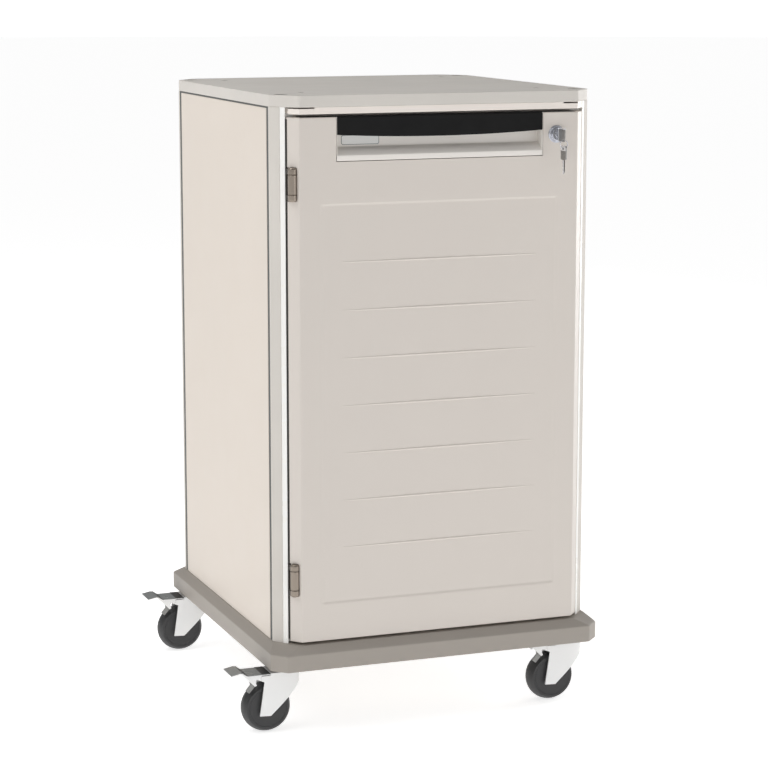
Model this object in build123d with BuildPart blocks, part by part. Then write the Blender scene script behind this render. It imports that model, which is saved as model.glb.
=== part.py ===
"""Mobile bedside cabinet for a hospital ward.

A tall single-door cabinet on four swivel castors with brakes: four corner posts and flat side
panels stand on a wide plastic bumper base, a worktop closes the top, and a lockable plastic door
with a recessed pull hangs on two butt hinges at the front left corner.

Millimetres, +Z up. The origin is on the floor, under the middle of the cabinet's bounding box. The
brake pedals stand out to the left and the keys to the front, so the middle of the cabinet is a
little to the right of the origin and a little behind it.
"""

import os
from math import atan2, cos, sin

from build123d import *

os.makedirs("parts", exist_ok=True)

# ---- Cabinet -------------------------------------------------------------------------------
body_width = 580.0
body_depth = 633.0
corner_x = 38.0  # each vertical corner is cut off by this much along the front
corner_y = 43.0  # and by this much along the side
half_width = body_width / 2
front_edge_x = half_width - corner_x  # where the front face ends and the cut corner starts

base_bottom = 114.8
base_edge_top = 144.6  # top of the bumper's vertical face
base_top = 157.4
worktop_bottom = 1070.7
worktop_thickness = 19.8
worktop_top = worktop_bottom + worktop_thickness
bumper_overhang_x = 15.2
bumper_overhang_y = 13.6
bumper_corner = 23.4
bumper_ledge = 1.5  # the bumper's top stands this far outside the body

# ---- Castors -------------------------------------------------------------------------------
castor_x = 267.4  # the castor stems stand on the axes of the four corner posts
castor_inset = 46.1
castor_trail = 36.9
wheel_radius = 43.5
tyre_width = 32.0
core_radius = 33.0
fork_half_width = 23.3
fork_wall = 3.0
fork_nose = 60.9  # foremost point of the fork, ahead of the axle
fork_top = 107.0
pedal_reach = 67.7  # tip of the brake pedal, behind the axle
running_gap = 0.05  # radial clearance of every pin that turns in a bore

# ---- Keys and the middle of the cabinet ------------------------------------------------------
keys_reach = 41.0  # the hanging key stands this far in front of the door
left_reach = castor_x + castor_trail + pedal_reach
right_reach = half_width + bumper_overhang_x
cabinet_x = (left_reach - right_reach) / 2
front_y = -(body_depth + bumper_overhang_y - keys_reach) / 2

# The plan plane lies on the floor with its origin under the middle of the door's front face:
# its x runs to the right along the front and its y runs to the back.
plan = Plane(origin=(cabinet_x, front_y, 0), z_dir=(0, 0, 1))


def castor_spots():
    """Name and plan position of the four castor stems."""
    rear = body_depth - castor_inset
    return [
        ("front_left", -castor_x, castor_inset),
        ("front_right", castor_x, castor_inset),
        ("rear_left", -castor_x, rear),
        ("rear_right", castor_x, rear),
    ]


def cut_corner_outline(half_x, y_front, y_rear, cut_x, cut_y):
    """Rectangle with its four corners cut off, added to the current sketch."""
    Polygon(
        (-half_x + cut_x, y_front),
        (half_x - cut_x, y_front),
        (half_x, y_front + cut_y),
        (half_x, y_rear - cut_y),
        (half_x - cut_x, y_rear),
        (-half_x + cut_x, y_rear),
        (-half_x, y_rear - cut_y),
        (-half_x, y_front + cut_y),
        align=None,
    )


def box_sketch(x_low, y_low, x_high, y_high, mode=Mode.ADD):
    """Upright rectangle given by two corners, added to the current sketch."""
    Polygon((x_low, y_low), (x_high, y_low), (x_high, y_high), (x_low, y_high), align=None, mode=mode)


def finish(piece, label):
    """Label a finished piece and write its STEP file."""
    piece.part.label = label
    export_step(piece.part, f"parts/{label}.step")


# ---- Worktop -------------------------------------------------------------------------------
plug_radius = 12.5
plug_recess = 8.0
plug_inset = 47.0
small_screw_radius = 5.2
small_screw_inset = 96.0
small_screw_x = 216.0
worktop_edge = 1.0
plug_spots = [(x, y) for x in (-castor_x, castor_x) for y in (plug_inset, body_depth - plug_inset)]
screw_spots = [
    (x, y)
    for x in (-small_screw_x, small_screw_x)
    for y in (small_screw_inset, body_depth - small_screw_inset)
]

with BuildPart() as worktop:
    with BuildSketch(plan.offset(worktop_bottom)):
        cut_corner_outline(half_width, 0, body_depth, corner_x, corner_y)
    extrude(amount=worktop_thickness)
    fillet(worktop.faces().sort_by(Axis.Z)[-1].edges(), worktop_edge)
    with BuildSketch(plan.offset(worktop_top)):
        with Locations(*plug_spots):
            Circle(plug_radius)
        with Locations(*screw_spots):
            Circle(small_screw_radius)
    extrude(amount=-plug_recess, mode=Mode.SUBTRACT)
finish(worktop, "worktop")

with BuildPart() as worktop_plugs:
    with BuildSketch(plan.offset(worktop_top - plug_recess)):
        with Locations(*plug_spots):
            Circle(plug_radius)
    extrude(amount=plug_recess - 0.4)
finish(worktop_plugs, "worktop_plugs")

with BuildPart() as worktop_screws:
    with BuildSketch(plan.offset(worktop_top - plug_recess)):
        with Locations(*screw_spots):
            Circle(small_screw_radius)
    extrude(amount=plug_recess - 0.6)
finish(worktop_screws, "worktop_screws")

# ---- Carcass: posts, jambs, panels -----------------------------------------------------------
panel_thickness = 8.0
gasket_front = 48.5  # the soft strip between post and side panel starts here
panel_front = 57.5
panel_top = 1065.5
door_depth = 30.0
flange_front = 34.0  # the door closes against flanges whose front face is here
flange_back = 37.0
jamb_tip = (269.3, 19.6)  # front edge of the jamb beside the door, on the cut corner
post_tip = (276.3, 27.5)  # where the jamb ends and the post begins, on the cut corner
post_inner_x = 258.0
post_back = 70.0
post_wall = 3.0
flange_inner_x = 252.0


def mirrored(points, side_x, rear):
    """Plan points of the right-front corner moved to another corner of the cabinet."""
    return [(side_x * x, body_depth - y if rear else y) for x, y in points]


post_outline = [
    post_tip,
    (half_width, corner_y),
    (half_width, gasket_front),
    (half_width - panel_thickness, gasket_front),
    (half_width - panel_thickness, post_back),
    (post_inner_x, post_back),
    (post_inner_x, post_back - post_wall),
    (half_width - panel_thickness - post_wall, post_back - post_wall),
    (half_width - panel_thickness - post_wall, flange_back + post_wall),
    (post_inner_x, flange_back + post_wall),
    (post_inner_x, flange_back),
    (post_tip[0], flange_back),
]

for label, side_x, rear in [
    ("post_front_left", -1, False),
    ("post_front_right", 1, False),
    ("post_rear_left", -1, True),
    ("post_rear_right", 1, True),
]:
    with BuildPart() as post:
        with BuildSketch(plan.offset(base_top)):
            Polygon(*mirrored(post_outline, side_x, rear), align=None)
        extrude(amount=worktop_bottom - base_top)
    finish(post, label)

jamb_outline = [
    jamb_tip,
    post_tip,
    (post_tip[0], flange_back),
    (flange_inner_x, flange_back),
    (flange_inner_x, flange_front),
    (jamb_tip[0], flange_front),
]

for label, side_x in [("jamb_left", -1), ("jamb_right", 1)]:
    with BuildPart() as jamb:
        with BuildSketch(plan.offset(base_top)):
            Polygon(*mirrored(jamb_outline, side_x, False), align=None)
        extrude(amount=worktop_bottom - base_top)
    finish(jamb, label)

rail_bottom = 1059.4
header_bottom = 1040.0
rail_relief = 2.2  # the rail's ends are cut down by this much under the worktop
rail_relief_x = 225.0

with BuildPart() as top_rail:
    with BuildSketch(plan.offset(rail_bottom)):
        Polygon(
            (-front_edge_x, 0),
            (front_edge_x, 0),
            jamb_tip,
            (jamb_tip[0], flange_front),
            (-jamb_tip[0], flange_front),
            (-jamb_tip[0], jamb_tip[1]),
            align=None,
        )
    extrude(amount=worktop_bottom - rail_bottom)
    with BuildSketch(plan.offset(worktop_bottom)):
        for side_x in (-1, 1):
            end_x = side_x * (jamb_tip[0] + 1)
            Polygon(
                (side_x * rail_relief_x, -1),
                (end_x, -1),
                (end_x, flange_front + 1),
                (side_x * rail_relief_x, flange_front + 1),
                align=None,
            )
    extrude(amount=-rail_relief, mode=Mode.SUBTRACT)
    with BuildSketch(plan.offset(header_bottom)):
        box_sketch(-flange_inner_x, flange_front, flange_inner_x, flange_back)
    extrude(amount=worktop_bottom - header_bottom)
finish(top_rail, "top_rail")

with BuildPart() as panel_left:
    with BuildSketch(plan.offset(base_top)):
        box_sketch(-half_width, panel_front, panel_thickness - half_width, body_depth - panel_front)
    extrude(amount=panel_top - base_top)
finish(panel_left, "panel_left")

with BuildPart() as panel_right:
    with BuildSketch(plan.offset(base_top)):
        box_sketch(half_width - panel_thickness, panel_front, half_width, body_depth - panel_front)
    extrude(amount=panel_top - base_top)
finish(panel_right, "panel_right")

# The back is a pressed panel whose edges are bent round the two rear corners, as far as the posts.
back_wall = 6.0
corner_angle = atan2(corner_y, corner_x)
back_bend_x = front_edge_x - back_wall * (1 - cos(corner_angle)) / sin(corner_angle)
back_leg_x = back_bend_x + (flange_back - back_wall) * corner_x / corner_y

with BuildPart() as panel_back:
    with BuildSketch(plan.offset(base_top)):
        Polygon(
            (-post_tip[0], body_depth - flange_back),
            (-post_tip[0], body_depth - post_tip[1]),
            (-front_edge_x, body_depth),
            (front_edge_x, body_depth),
            (post_tip[0], body_depth - post_tip[1]),
            (post_tip[0], body_depth - flange_back),
            align=None,
        )
        Polygon(
            (-back_leg_x, body_depth - flange_back),
            (-back_bend_x, body_depth - back_wall),
            (back_bend_x, body_depth - back_wall),
            (back_leg_x, body_depth - flange_back),
            align=None,
            mode=Mode.SUBTRACT,
        )
    extrude(amount=worktop_bottom - base_top)
finish(panel_back, "panel_back")

gasket_recess = 0.8
with BuildPart() as panel_gaskets:
    outer_x = half_width - gasket_recess
    inner_x = half_width - panel_thickness
    with BuildSketch(plan.offset(base_top)):
        for y_low, y_high in [
            (gasket_front, panel_front),
            (body_depth - panel_front, body_depth - gasket_front),
        ]:
            box_sketch(-outer_x, y_low, -inner_x, y_high)
            box_sketch(inner_x, y_low, outer_x, y_high)
    extrude(amount=worktop_bottom - base_top)
    with BuildSketch(plan.offset(panel_top)):
        box_sketch(-outer_x, panel_front, -inner_x, body_depth - panel_front)
        box_sketch(inner_x, panel_front, outer_x, body_depth - panel_front)
    extrude(amount=worktop_bottom - panel_top)
finish(panel_gaskets, "panel_gaskets")

# ---- Floor, side liners and shelves ------------------------------------------------------------
deck_thickness = 16.0
deck_top = base_top + deck_thickness
liner_thickness = 4.0
liner_top = 1050.0
runner_depth = 8.0  # the liners' ledges stand out by this much
runner_height = 5.0
runner_pitch = 96.0
runner_count = 9
first_runner = deck_top + 90.0
shelf_thickness = 16.0
liner_outer_x = half_width - panel_thickness
liner_inner_x = liner_outer_x - liner_thickness
runner_inner_x = liner_inner_x - runner_depth
shelf_half_width = liner_inner_x - 2.0
shelf_front = post_back + 4.0
shelf_back = body_depth - post_back - 4.0

with BuildPart() as bottom_deck:
    with BuildSketch(plan.offset(base_top)):
        box_sketch(-post_inner_x, flange_back, post_inner_x, body_depth - flange_back)
        box_sketch(-liner_outer_x, post_back, liner_outer_x, body_depth - post_back)
    extrude(amount=deck_thickness)
    with BuildSketch(plan.offset(base_top)):
        box_sketch(-flange_inner_x, flange_front, flange_inner_x, flange_back)
    extrude(amount=deck_thickness)
finish(bottom_deck, "bottom_deck")

with BuildPart() as side_liners:
    with BuildSketch(plan.offset(deck_top)):
        box_sketch(-liner_outer_x, post_back, -liner_inner_x, body_depth - post_back)
        box_sketch(liner_inner_x, post_back, liner_outer_x, body_depth - post_back)
    extrude(amount=liner_top - deck_top)
    for index in range(runner_count):
        with BuildSketch(plan.offset(first_runner + index * runner_pitch)):
            box_sketch(-liner_outer_x, shelf_front, -runner_inner_x, shelf_back)
            box_sketch(runner_inner_x, shelf_front, liner_outer_x, shelf_back)
        extrude(amount=runner_height)
finish(side_liners, "side_liners")

with BuildPart() as shelves:
    for runner in (2, 5):
        with BuildSketch(plan.offset(first_runner + runner * runner_pitch + runner_height)):
            box_sketch(-shelf_half_width, shelf_front, shelf_half_width, shelf_back)
        extrude(amount=shelf_thickness)
    fillet(shelves.edges().filter_by(Axis.X), 3.0)
finish(shelves, "shelves")

# ---- Base: bumper and steel chassis ------------------------------------------------------------
bumper_wall = 6.0
bumper_roof = 13.4
bumper_round = 4.0
bumper_half = half_width + bumper_overhang_x
bumper_top_half = half_width + bumper_ledge
bumper_top_corner = 36.0
pocket_half = bumper_half - bumper_wall
tube_size = 30.0
tube_height = 26.0
tube_top = base_top - bumper_roof
tube_bottom = tube_top - tube_height
socket_radius = 22.0
stem_radius = 6.0

with BuildPart() as base_bumper:
    with BuildSketch(plan.offset(base_bottom)):
        cut_corner_outline(
            bumper_half,
            -bumper_overhang_y,
            body_depth + bumper_overhang_y,
            bumper_corner,
            bumper_corner,
        )
    extrude(amount=base_edge_top - base_bottom)
    with BuildSketch(plan.offset(base_edge_top)):
        cut_corner_outline(
            bumper_half,
            -bumper_overhang_y,
            body_depth + bumper_overhang_y,
            bumper_corner,
            bumper_corner,
        )
    with BuildSketch(plan.offset(base_top)):
        cut_corner_outline(
            bumper_top_half,
            -bumper_ledge,
            body_depth + bumper_ledge,
            bumper_top_corner,
            bumper_top_corner,
        )
    loft(ruled=True)
    upright_edges = base_bumper.edges().filter_by(Axis.Z)
    fillet(upright_edges, bumper_round)
    with BuildSketch(plan.offset(base_bottom)):
        cut_corner_outline(
            pocket_half,
            bumper_wall - bumper_overhang_y,
            body_depth + bumper_overhang_y - bumper_wall,
            bumper_corner,
            bumper_corner,
        )
    extrude(amount=base_top - bumper_roof - base_bottom, mode=Mode.SUBTRACT)
finish(base_bumper, "base_bumper")

with BuildPart() as chassis_frame:
    with BuildSketch(plan.offset(tube_bottom)):
        for y in (castor_inset, body_depth / 2, body_depth - castor_inset):
            box_sketch(-castor_x, y - tube_size / 2, castor_x, y + tube_size / 2)
        for x in (-castor_x, castor_x):
            box_sketch(x - tube_size / 2, castor_inset, x + tube_size / 2, body_depth - castor_inset)
        with Locations(*[(x, y) for name, x, y in castor_spots()]):
            Circle(socket_radius)
    extrude(amount=tube_height)
    with BuildSketch(plan.offset(tube_bottom)):
        with Locations(*[(x, y) for name, x, y in castor_spots()]):
            Circle(stem_radius)
    extrude(amount=tube_height, mode=Mode.SUBTRACT)
finish(chassis_frame, "chassis_frame")

# ---- Castors -----------------------------------------------------------------------------------
bearing_radius = 21.0
bearing_bottom = fork_top + 0.3
fork_plate = 4.0
kingpin_nut_radius = 10.0
kingpin_nut_height = 5.0
axle_radius = 4.0
axle_end = fork_half_width - 1.5  # the axle ends inside blind bosses, so the fork is smooth outside
brake_pin_radius = 3.0
brake_pin_x = -2.0  # places on the fork are measured from the axle: x ahead of it, z above it
brake_pin_z = 55.0
brake_hub_radius = 5.0
brake_arc = 12.0  # the fork ends in an arc round the brake pin, and the pedal starts there
brake_gap = 0.5
fork_flat_x = 18.9  # the fork's sides are flat up to here and then close in the round nose
fork_roof_x = 3.3
fork_roof = fork_top - wheel_radius
fork_side = fork_half_width - fork_wall

with BuildPart() as castor_heads:
    for name, x, y in castor_spots():
        with BuildSketch(plan.offset(bearing_bottom)):
            with Locations((x, y)):
                Circle(bearing_radius)
        extrude(amount=tube_bottom - bearing_bottom)
        with BuildSketch(plan.offset(tube_bottom)):
            with Locations((x, y)):
                Circle(stem_radius)
        extrude(amount=tube_height)
        with BuildSketch(plan.offset(bearing_bottom)):
            with Locations((x, y)):
                Circle(stem_radius)
        extrude(amount=-(0.3 + fork_plate + 0.3))
        with BuildSketch(plan.offset(fork_top - fork_plate - 0.3)):
            with Locations((x, y)):
                Circle(kingpin_nut_radius)
        extrude(amount=-kingpin_nut_height)
finish(castor_heads, "castor_heads")


def fork_outline(inset):
    """Plan view of the fork, from the axle: flat sides closed by an elliptical nose."""
    half = fork_half_width - inset
    nose = fork_nose - inset
    with Locations((fork_flat_x, 0)):
        Ellipse(nose - fork_flat_x, half)
    box_sketch(-40, -half, fork_flat_x, half)


pedal_tip = (-pedal_reach, 66.2)
pedal_arc = brake_arc + brake_gap
shoe_corners = [(-32.2, 48.4), (-26.3, 42.3), (-35.9, 31.3), (-41.5, 37.7)]
shoe_arm_corners = [(-26.3, 42.3), (-35.9, 31.3), (-38.2, 33.3), (-33, 46), (-35, 55), (-29, 55)]
shoe_pad_corners = [(-26.3, 42.3), (-35.9, 31.3), (-38.2, 33.3), (-28.6, 44.3)]
shoe_arm_thickness = 3.0
shoe_pad_end = 8.0  # the pad reaches this near to the middle of the tyre
hub_web_corners = [(-12, 61.5), (-6.8, brake_pin_z), (2.0, 58.0), (2.0, 61.5)]
wheel_boss_radius = 10.0
tyre_shoulder = 6.0  # the tread is crowned: its edges lie this much below its middle

for name, stem_x, stem_y in castor_spots():
    axle_x = stem_x - castor_trail
    # A castor's own planes: side view (x ahead of the axle, y up) and plan view at the floor.
    side_view = Plane(
        origin=(cabinet_x + axle_x, front_y + stem_y, wheel_radius), x_dir=(1, 0, 0), z_dir=(0, -1, 0)
    )
    castor_plan = Plane(origin=(cabinet_x + axle_x, front_y + stem_y, 0), z_dir=(0, 0, 1))

    with BuildPart() as fork:
        with BuildSketch(castor_plan):
            fork_outline(0)
        extrude(amount=fork_top)
        with BuildSketch(castor_plan):
            fork_outline(fork_wall)
        extrude(amount=fork_top - fork_plate, mode=Mode.SUBTRACT)
        # Side view: a leg down to the axle, a slanted foot, the nose, a flat top, and an arc
        # round the brake pin at the back.
        with BuildSketch(side_view):
            with BuildLine():
                Polyline((-13.0, 50.6), (-7.8, 48.5), (-16.6, -11.2), (3.0, -12.2), (fork_nose, 41.5))
                Polyline((fork_nose, 41.5), (fork_nose, fork_roof), (fork_roof_x, fork_roof))
                Polyline((fork_roof_x, fork_roof), (fork_roof_x, fork_roof - fork_plate), (-12.9, 59.5))
                ThreePointArc((-12.9, 59.5), (brake_pin_x - brake_arc, brake_pin_z), (-13.0, 50.6))
            make_face()
        extrude(amount=fork_half_width + 1, both=True, mode=Mode.INTERSECT)
        with BuildSketch(side_view):
            Circle(axle_radius)
        extrude(amount=axle_end, both=True, mode=Mode.SUBTRACT)
        with BuildSketch(side_view):
            with Locations((brake_pin_x, brake_pin_z)):
                Circle(brake_pin_radius)
        extrude(amount=axle_end, both=True, mode=Mode.SUBTRACT)
        with BuildSketch(castor_plan.offset(fork_top)):
            with Locations((castor_trail, 0)):
                Circle(stem_radius + running_gap)
        extrude(amount=-fork_plate, mode=Mode.SUBTRACT)
    finish(fork, f"castor_{name}_fork")

    with BuildPart() as pins:
        with BuildSketch(side_view):
            Circle(axle_radius)
            with Locations((brake_pin_x, brake_pin_z)):
                Circle(brake_pin_radius)
        extrude(amount=axle_end, both=True)
    finish(pins, f"castor_{name}_pins")

    with BuildPart() as pedal:
        # Two cheeks in line with the fork's legs, cut out round the brake pin.
        for cheek_start in (fork_side, -fork_half_width):
            with BuildSketch(side_view.offset(cheek_start)):
                with BuildLine():
                    Polyline((-50.0, 68.0), (-49.5, 66.6), (-32.5, 49.6), (-25.5, 42.4), (-21.9, 44.3))
                    Polyline((-21.9, 44.3), (-23.8, 49.3), (-22.7, 54.5), (-13.6, 50.9))
                    ThreePointArc((-13.6, 50.9), (brake_pin_x - pedal_arc, brake_pin_z), (-13.2, 60.6))
                    Polyline((-13.2, 60.6), (-13.2, 61.8), (-38.5, 61.8), (-41.2, 63.0), (-47.0, 67.4))
                    Line((-47.0, 67.4), (-50.0, 68.0))
                make_face()
            extrude(amount=fork_wall)
        # The tread plate: a raised tip, a step down and a flat stretch.
        with BuildSketch(side_view):
            with BuildLine():
                Polyline(pedal_tip, (-51.5, 69.4), (-46.5, 68.6), (-40.2, 63.9), (-37.2, 63.0), (2.5, 63.0))
                Polyline((2.5, 63.0), (2.5, 60.9), (-38.0, 60.9), (-41.6, 62.0), (-47.5, 66.4))
                Polyline((-47.5, 66.4), (-51.3, 67.0), (-67.2, 63.9), pedal_tip)
            make_face()
        extrude(amount=fork_half_width, both=True)
        with BuildSketch(side_view):
            with Locations((brake_pin_x, brake_pin_z)):
                Circle(brake_hub_radius)
            Polygon(*hub_web_corners, align=None)
        extrude(amount=fork_side - 0.5, both=True)
        with BuildSketch(side_view):
            with Locations((brake_pin_x, brake_pin_z)):
                Circle(brake_pin_radius + running_gap)
        extrude(amount=fork_half_width, both=True, mode=Mode.SUBTRACT)
    finish(pedal, f"castor_{name}_pedal")

    with BuildPart() as shoe:
        # An ear in line with the near cheek, an arm that goes up behind that cheek, and a pad
        # that reaches in over the tyre.
        with BuildSketch(side_view.offset(fork_side)):
            Polygon(*shoe_corners, align=None)
        extrude(amount=fork_wall)
        with BuildSketch(side_view.offset(fork_side)):
            Polygon(*shoe_arm_corners, align=None)
        extrude(amount=-shoe_arm_thickness)
        with BuildSketch(side_view.offset(fork_side)):
            Polygon(*shoe_pad_corners, align=None)
        extrude(amount=-(fork_side - shoe_pad_end))
    finish(shoe, f"castor_{name}_brake_shoe")

    with BuildPart() as tyre:
        with BuildSketch(Plane(side_view.origin, x_dir=(1, 0, 0), z_dir=(0, 0, 1))):
            half = tyre_width / 2
            shoulder = wheel_radius - tyre_shoulder
            with BuildLine():
                Polyline((shoulder, -half), (core_radius, -half), (core_radius, half), (shoulder, half))
                ThreePointArc((shoulder, half), (wheel_radius, 0), (shoulder, -half))
            make_face()
        revolve(axis=Axis(side_view.origin, (0, 1, 0)))
    finish(tyre, f"castor_{name}_tyre")

    with BuildPart() as core:
        with BuildSketch(side_view):
            Circle(core_radius)
        extrude(amount=tyre_width / 2 - 1.0, both=True)
        with BuildSketch(side_view):
            Circle(wheel_boss_radius)
        extrude(amount=tyre_width / 2 + 2.0, both=True)
        with BuildSketch(side_view):
            Circle(axle_radius + running_gap)
        extrude(amount=tyre_width, both=True, mode=Mode.SUBTRACT)
    finish(core, f"castor_{name}_wheel_core")

# ---- Door ----------------------------------------------------------------------------------
door_bottom = 161.9
door_top = 1054.1
door_side_x = 267.0
door_side_y = 16.9  # the cut corner ends here and the door's side starts
door_round = 2.0
door_front_wall = 4.5
door_rim = 4.0
door_stile_x = 250.0
liner_front = 27.0
field_half_width = 218.0
field_bottom = 225.0
field_top = 911.5
field_depth = 1.2
field_bevel = 5.0
field_corner = 12.0
rib_count = 7
rib_pitch = 81.5
first_rib = 323.0
rib_half_length = 177.0
rib_end_radius = 1.3
rib_radius = 2.15
rib_axis_y = 2.2
pocket_half_width = 186.0
pocket_wall = 1.5
pocket_bottom = 980.0
pocket_sill = 990.0  # the pocket's floor rises in a curve from here at the front
pocket_floor = 1002.6
pocket_depth = 23.0
grip_thickness = 4.5
grip_end_z = 1024.4
grip_middle_z = 1018.8
lock_x = 212.0
lock_z = 1016.5
lock_body_radius = 9.5

# ---- Hinges --------------------------------------------------------------------------------
hinge_x = -262.2
hinge_y = 7.2
hinge_bottoms = [242.6, 915.6]
hinge_height = 56.3
knuckle_radius = 7.5
knuckle_notch = 8.4
end_knuckle = 11.3
knuckle_gap = 0.4
hinge_pin_radius = 2.5
leaf_thickness = 1.5
frame_leaf_x = -jamb_tip[0]  # the frame leaf lies against the jamb
door_leaf_x = -265.7  # the door leaf is let into the door's side, this deep
middle_bottom = end_knuckle + knuckle_gap
middle_height = hinge_height - 2 * middle_bottom


def front_view(depth):
    """Plane parallel to the front, this far behind the door's face: x to the right, y up."""
    return Plane(origin=(cabinet_x, front_y + depth, 0), x_dir=(1, 0, 0), z_dir=(0, -1, 0))


with BuildPart() as door_skin:
    with BuildSketch(plan.offset(door_bottom)):
        Polygon(
            (-front_edge_x, 0),
            (front_edge_x, 0),
            (door_side_x, door_side_y),
            (door_side_x, door_depth),
            (-door_side_x, door_depth),
            (-door_side_x, door_side_y),
            align=None,
        )
    extrude(amount=door_top - door_bottom)
    fillet(door_skin.faces().sort_by(Axis.Y)[0].edges(), door_round)
    field_middle = (field_bottom + field_top) / 2
    field_height = field_top - field_bottom
    with BuildSketch(front_view(0)):
        with Locations((0, field_middle)):
            RectangleRounded(2 * field_half_width, field_height, field_corner)
    with BuildSketch(front_view(field_depth)):
        with Locations((0, field_middle)):
            RectangleRounded(
                2 * (field_half_width - field_bevel),
                field_height - 2 * field_bevel,
                field_corner - field_bevel,
            )
    loft(ruled=True, mode=Mode.SUBTRACT)
    for index in range(rib_count):
        rib_z = first_rib + index * rib_pitch
        rib_plane = Plane(
            origin=(cabinet_x, front_y + rib_axis_y, rib_z), x_dir=(1, 0, 0), z_dir=(0, -1, 0)
        )
        rib_left = (-rib_half_length, rib_end_radius)
        rib_right = (rib_half_length, rib_end_radius)
        with BuildSketch(rib_plane):
            with BuildLine():
                ThreePointArc(rib_left, (0, rib_radius), rib_right)
                Polyline(rib_right, (rib_half_length, 0), (-rib_half_length, 0), rib_left)
            make_face()
        revolve(axis=Axis(rib_plane.origin, (1, 0, 0)))
    with BuildSketch(plan.offset(door_bottom + door_rim)):
        box_sketch(-door_stile_x, door_front_wall, door_stile_x, door_depth + 1)
    extrude(amount=door_top - door_bottom - 2 * door_rim, mode=Mode.SUBTRACT)
    with BuildSketch(plan.offset(pocket_bottom)):
        pocket_outer = pocket_half_width + pocket_wall
        box_sketch(-pocket_outer, -1, pocket_outer, liner_front)
    extrude(amount=door_top - pocket_bottom + 1, mode=Mode.SUBTRACT)
    with BuildSketch(front_view(0)):
        with Locations((lock_x, lock_z)):
            Circle(lock_body_radius)
    extrude(amount=-door_front_wall - 1, mode=Mode.SUBTRACT)
    for bottom in hinge_bottoms:
        with BuildSketch(plan.offset(bottom - 0.5)):
            with Locations((hinge_x, hinge_y)):
                Circle(knuckle_notch)
            box_sketch(-door_side_x - 1, hinge_y, door_leaf_x, 28.0)
        extrude(amount=hinge_height + 1, mode=Mode.SUBTRACT)
finish(door_skin, "door_skin")

with BuildPart() as door_liner:
    with BuildSketch(plan.offset(door_bottom + door_rim)):
        box_sketch(-door_stile_x, liner_front, door_stile_x, door_depth)
    extrude(amount=door_top - door_bottom - 2 * door_rim)
    with BuildSketch(front_view(0)):
        with Locations((lock_x, lock_z)):
            Circle(lock_body_radius)
    extrude(amount=-door_depth - 1, mode=Mode.SUBTRACT)
finish(door_liner, "door_liner")

seal_outer = 0.5
seal_width = 8.5
seal_depth = 3.0
with BuildPart() as door_seal:
    with BuildSketch(front_view(door_depth)):
        seal_half = door_side_x - seal_outer
        seal_low = door_bottom + seal_outer
        seal_high = door_top - seal_outer
        box_sketch(-seal_half, seal_low, seal_half, seal_high)
        box_sketch(
            seal_width - seal_half,
            seal_low + seal_width,
            seal_half - seal_width,
            seal_high - seal_width,
            Mode.SUBTRACT,
        )
    extrude(amount=-seal_depth)
finish(door_seal, "door_seal")

with BuildPart() as hinge_door_leaves:
    for bottom in hinge_bottoms:
        with BuildSketch(plan.offset(bottom + middle_bottom)):
            with Locations((hinge_x, hinge_y)):
                Circle(knuckle_radius)
            box_sketch(door_leaf_x - leaf_thickness, hinge_y, door_leaf_x, 28.0)
        extrude(amount=middle_height)
        with BuildSketch(plan.offset(bottom)):
            box_sketch(door_leaf_x - leaf_thickness, 17.0, door_leaf_x, 28.0)
        extrude(amount=hinge_height)
        with BuildSketch(plan.offset(bottom)):
            with Locations((hinge_x, hinge_y)):
                Circle(hinge_pin_radius + running_gap)
        extrude(amount=hinge_height, mode=Mode.SUBTRACT)
finish(hinge_door_leaves, "hinge_door_leaves")

with BuildPart() as hinge_frame_leaves:
    for bottom in hinge_bottoms:
        for knuckle_bottom in (bottom, bottom + hinge_height - end_knuckle):
            with BuildSketch(plan.offset(knuckle_bottom)):
                with Locations((hinge_x, hinge_y)):
                    Circle(knuckle_radius)
                box_sketch(frame_leaf_x, hinge_y + 1, frame_leaf_x + leaf_thickness, 33.5)
            extrude(amount=end_knuckle)
        with BuildSketch(plan.offset(bottom)):
            box_sketch(frame_leaf_x, 17.0, frame_leaf_x + leaf_thickness, 33.5)
        extrude(amount=hinge_height)
        with BuildSketch(plan.offset(bottom + 2.0)):
            with Locations((hinge_x, hinge_y)):
                Circle(hinge_pin_radius)
        extrude(amount=hinge_height - 4.0, mode=Mode.SUBTRACT)
finish(hinge_frame_leaves, "hinge_frame_leaves")

with BuildPart() as hinge_pins:
    for bottom in hinge_bottoms:
        with BuildSketch(plan.offset(bottom + 2.0)):
            with Locations((hinge_x, hinge_y)):
                Circle(hinge_pin_radius)
        extrude(amount=hinge_height - 4.0)
finish(hinge_pins, "hinge_pins")

# ---- Recessed pull -------------------------------------------------------------------------
pocket_side = Plane(
    origin=(cabinet_x, front_y, 0), x_dir=(0, 1, 0), z_dir=(1, 0, 0)
)  # side view at the middle of the door: x to the back, y up

with BuildPart() as handle_pocket:
    with BuildSketch(pocket_side):
        with BuildLine():
            Polyline((liner_front, door_top), (liner_front, pocket_bottom), (0, pocket_bottom))
            Line((0, pocket_bottom), (0, pocket_sill))
            ThreePointArc((0, pocket_sill), (10.6, 998.4), (pocket_depth, pocket_floor))
            Polyline((pocket_depth, pocket_floor), (pocket_depth, door_top), (liner_front, door_top))
        make_face()
    extrude(amount=pocket_half_width + pocket_wall, both=True)
    with BuildSketch(plan.offset(pocket_bottom)):
        for side_x in (-1, 1):
            inner = side_x * pocket_half_width
            outer = side_x * (pocket_half_width + pocket_wall)
            Polygon((inner, 0), (outer, 0), (outer, liner_front), (inner, liner_front), align=None)
    extrude(amount=door_top - pocket_bottom)
finish(handle_pocket, "handle_pocket")

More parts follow.
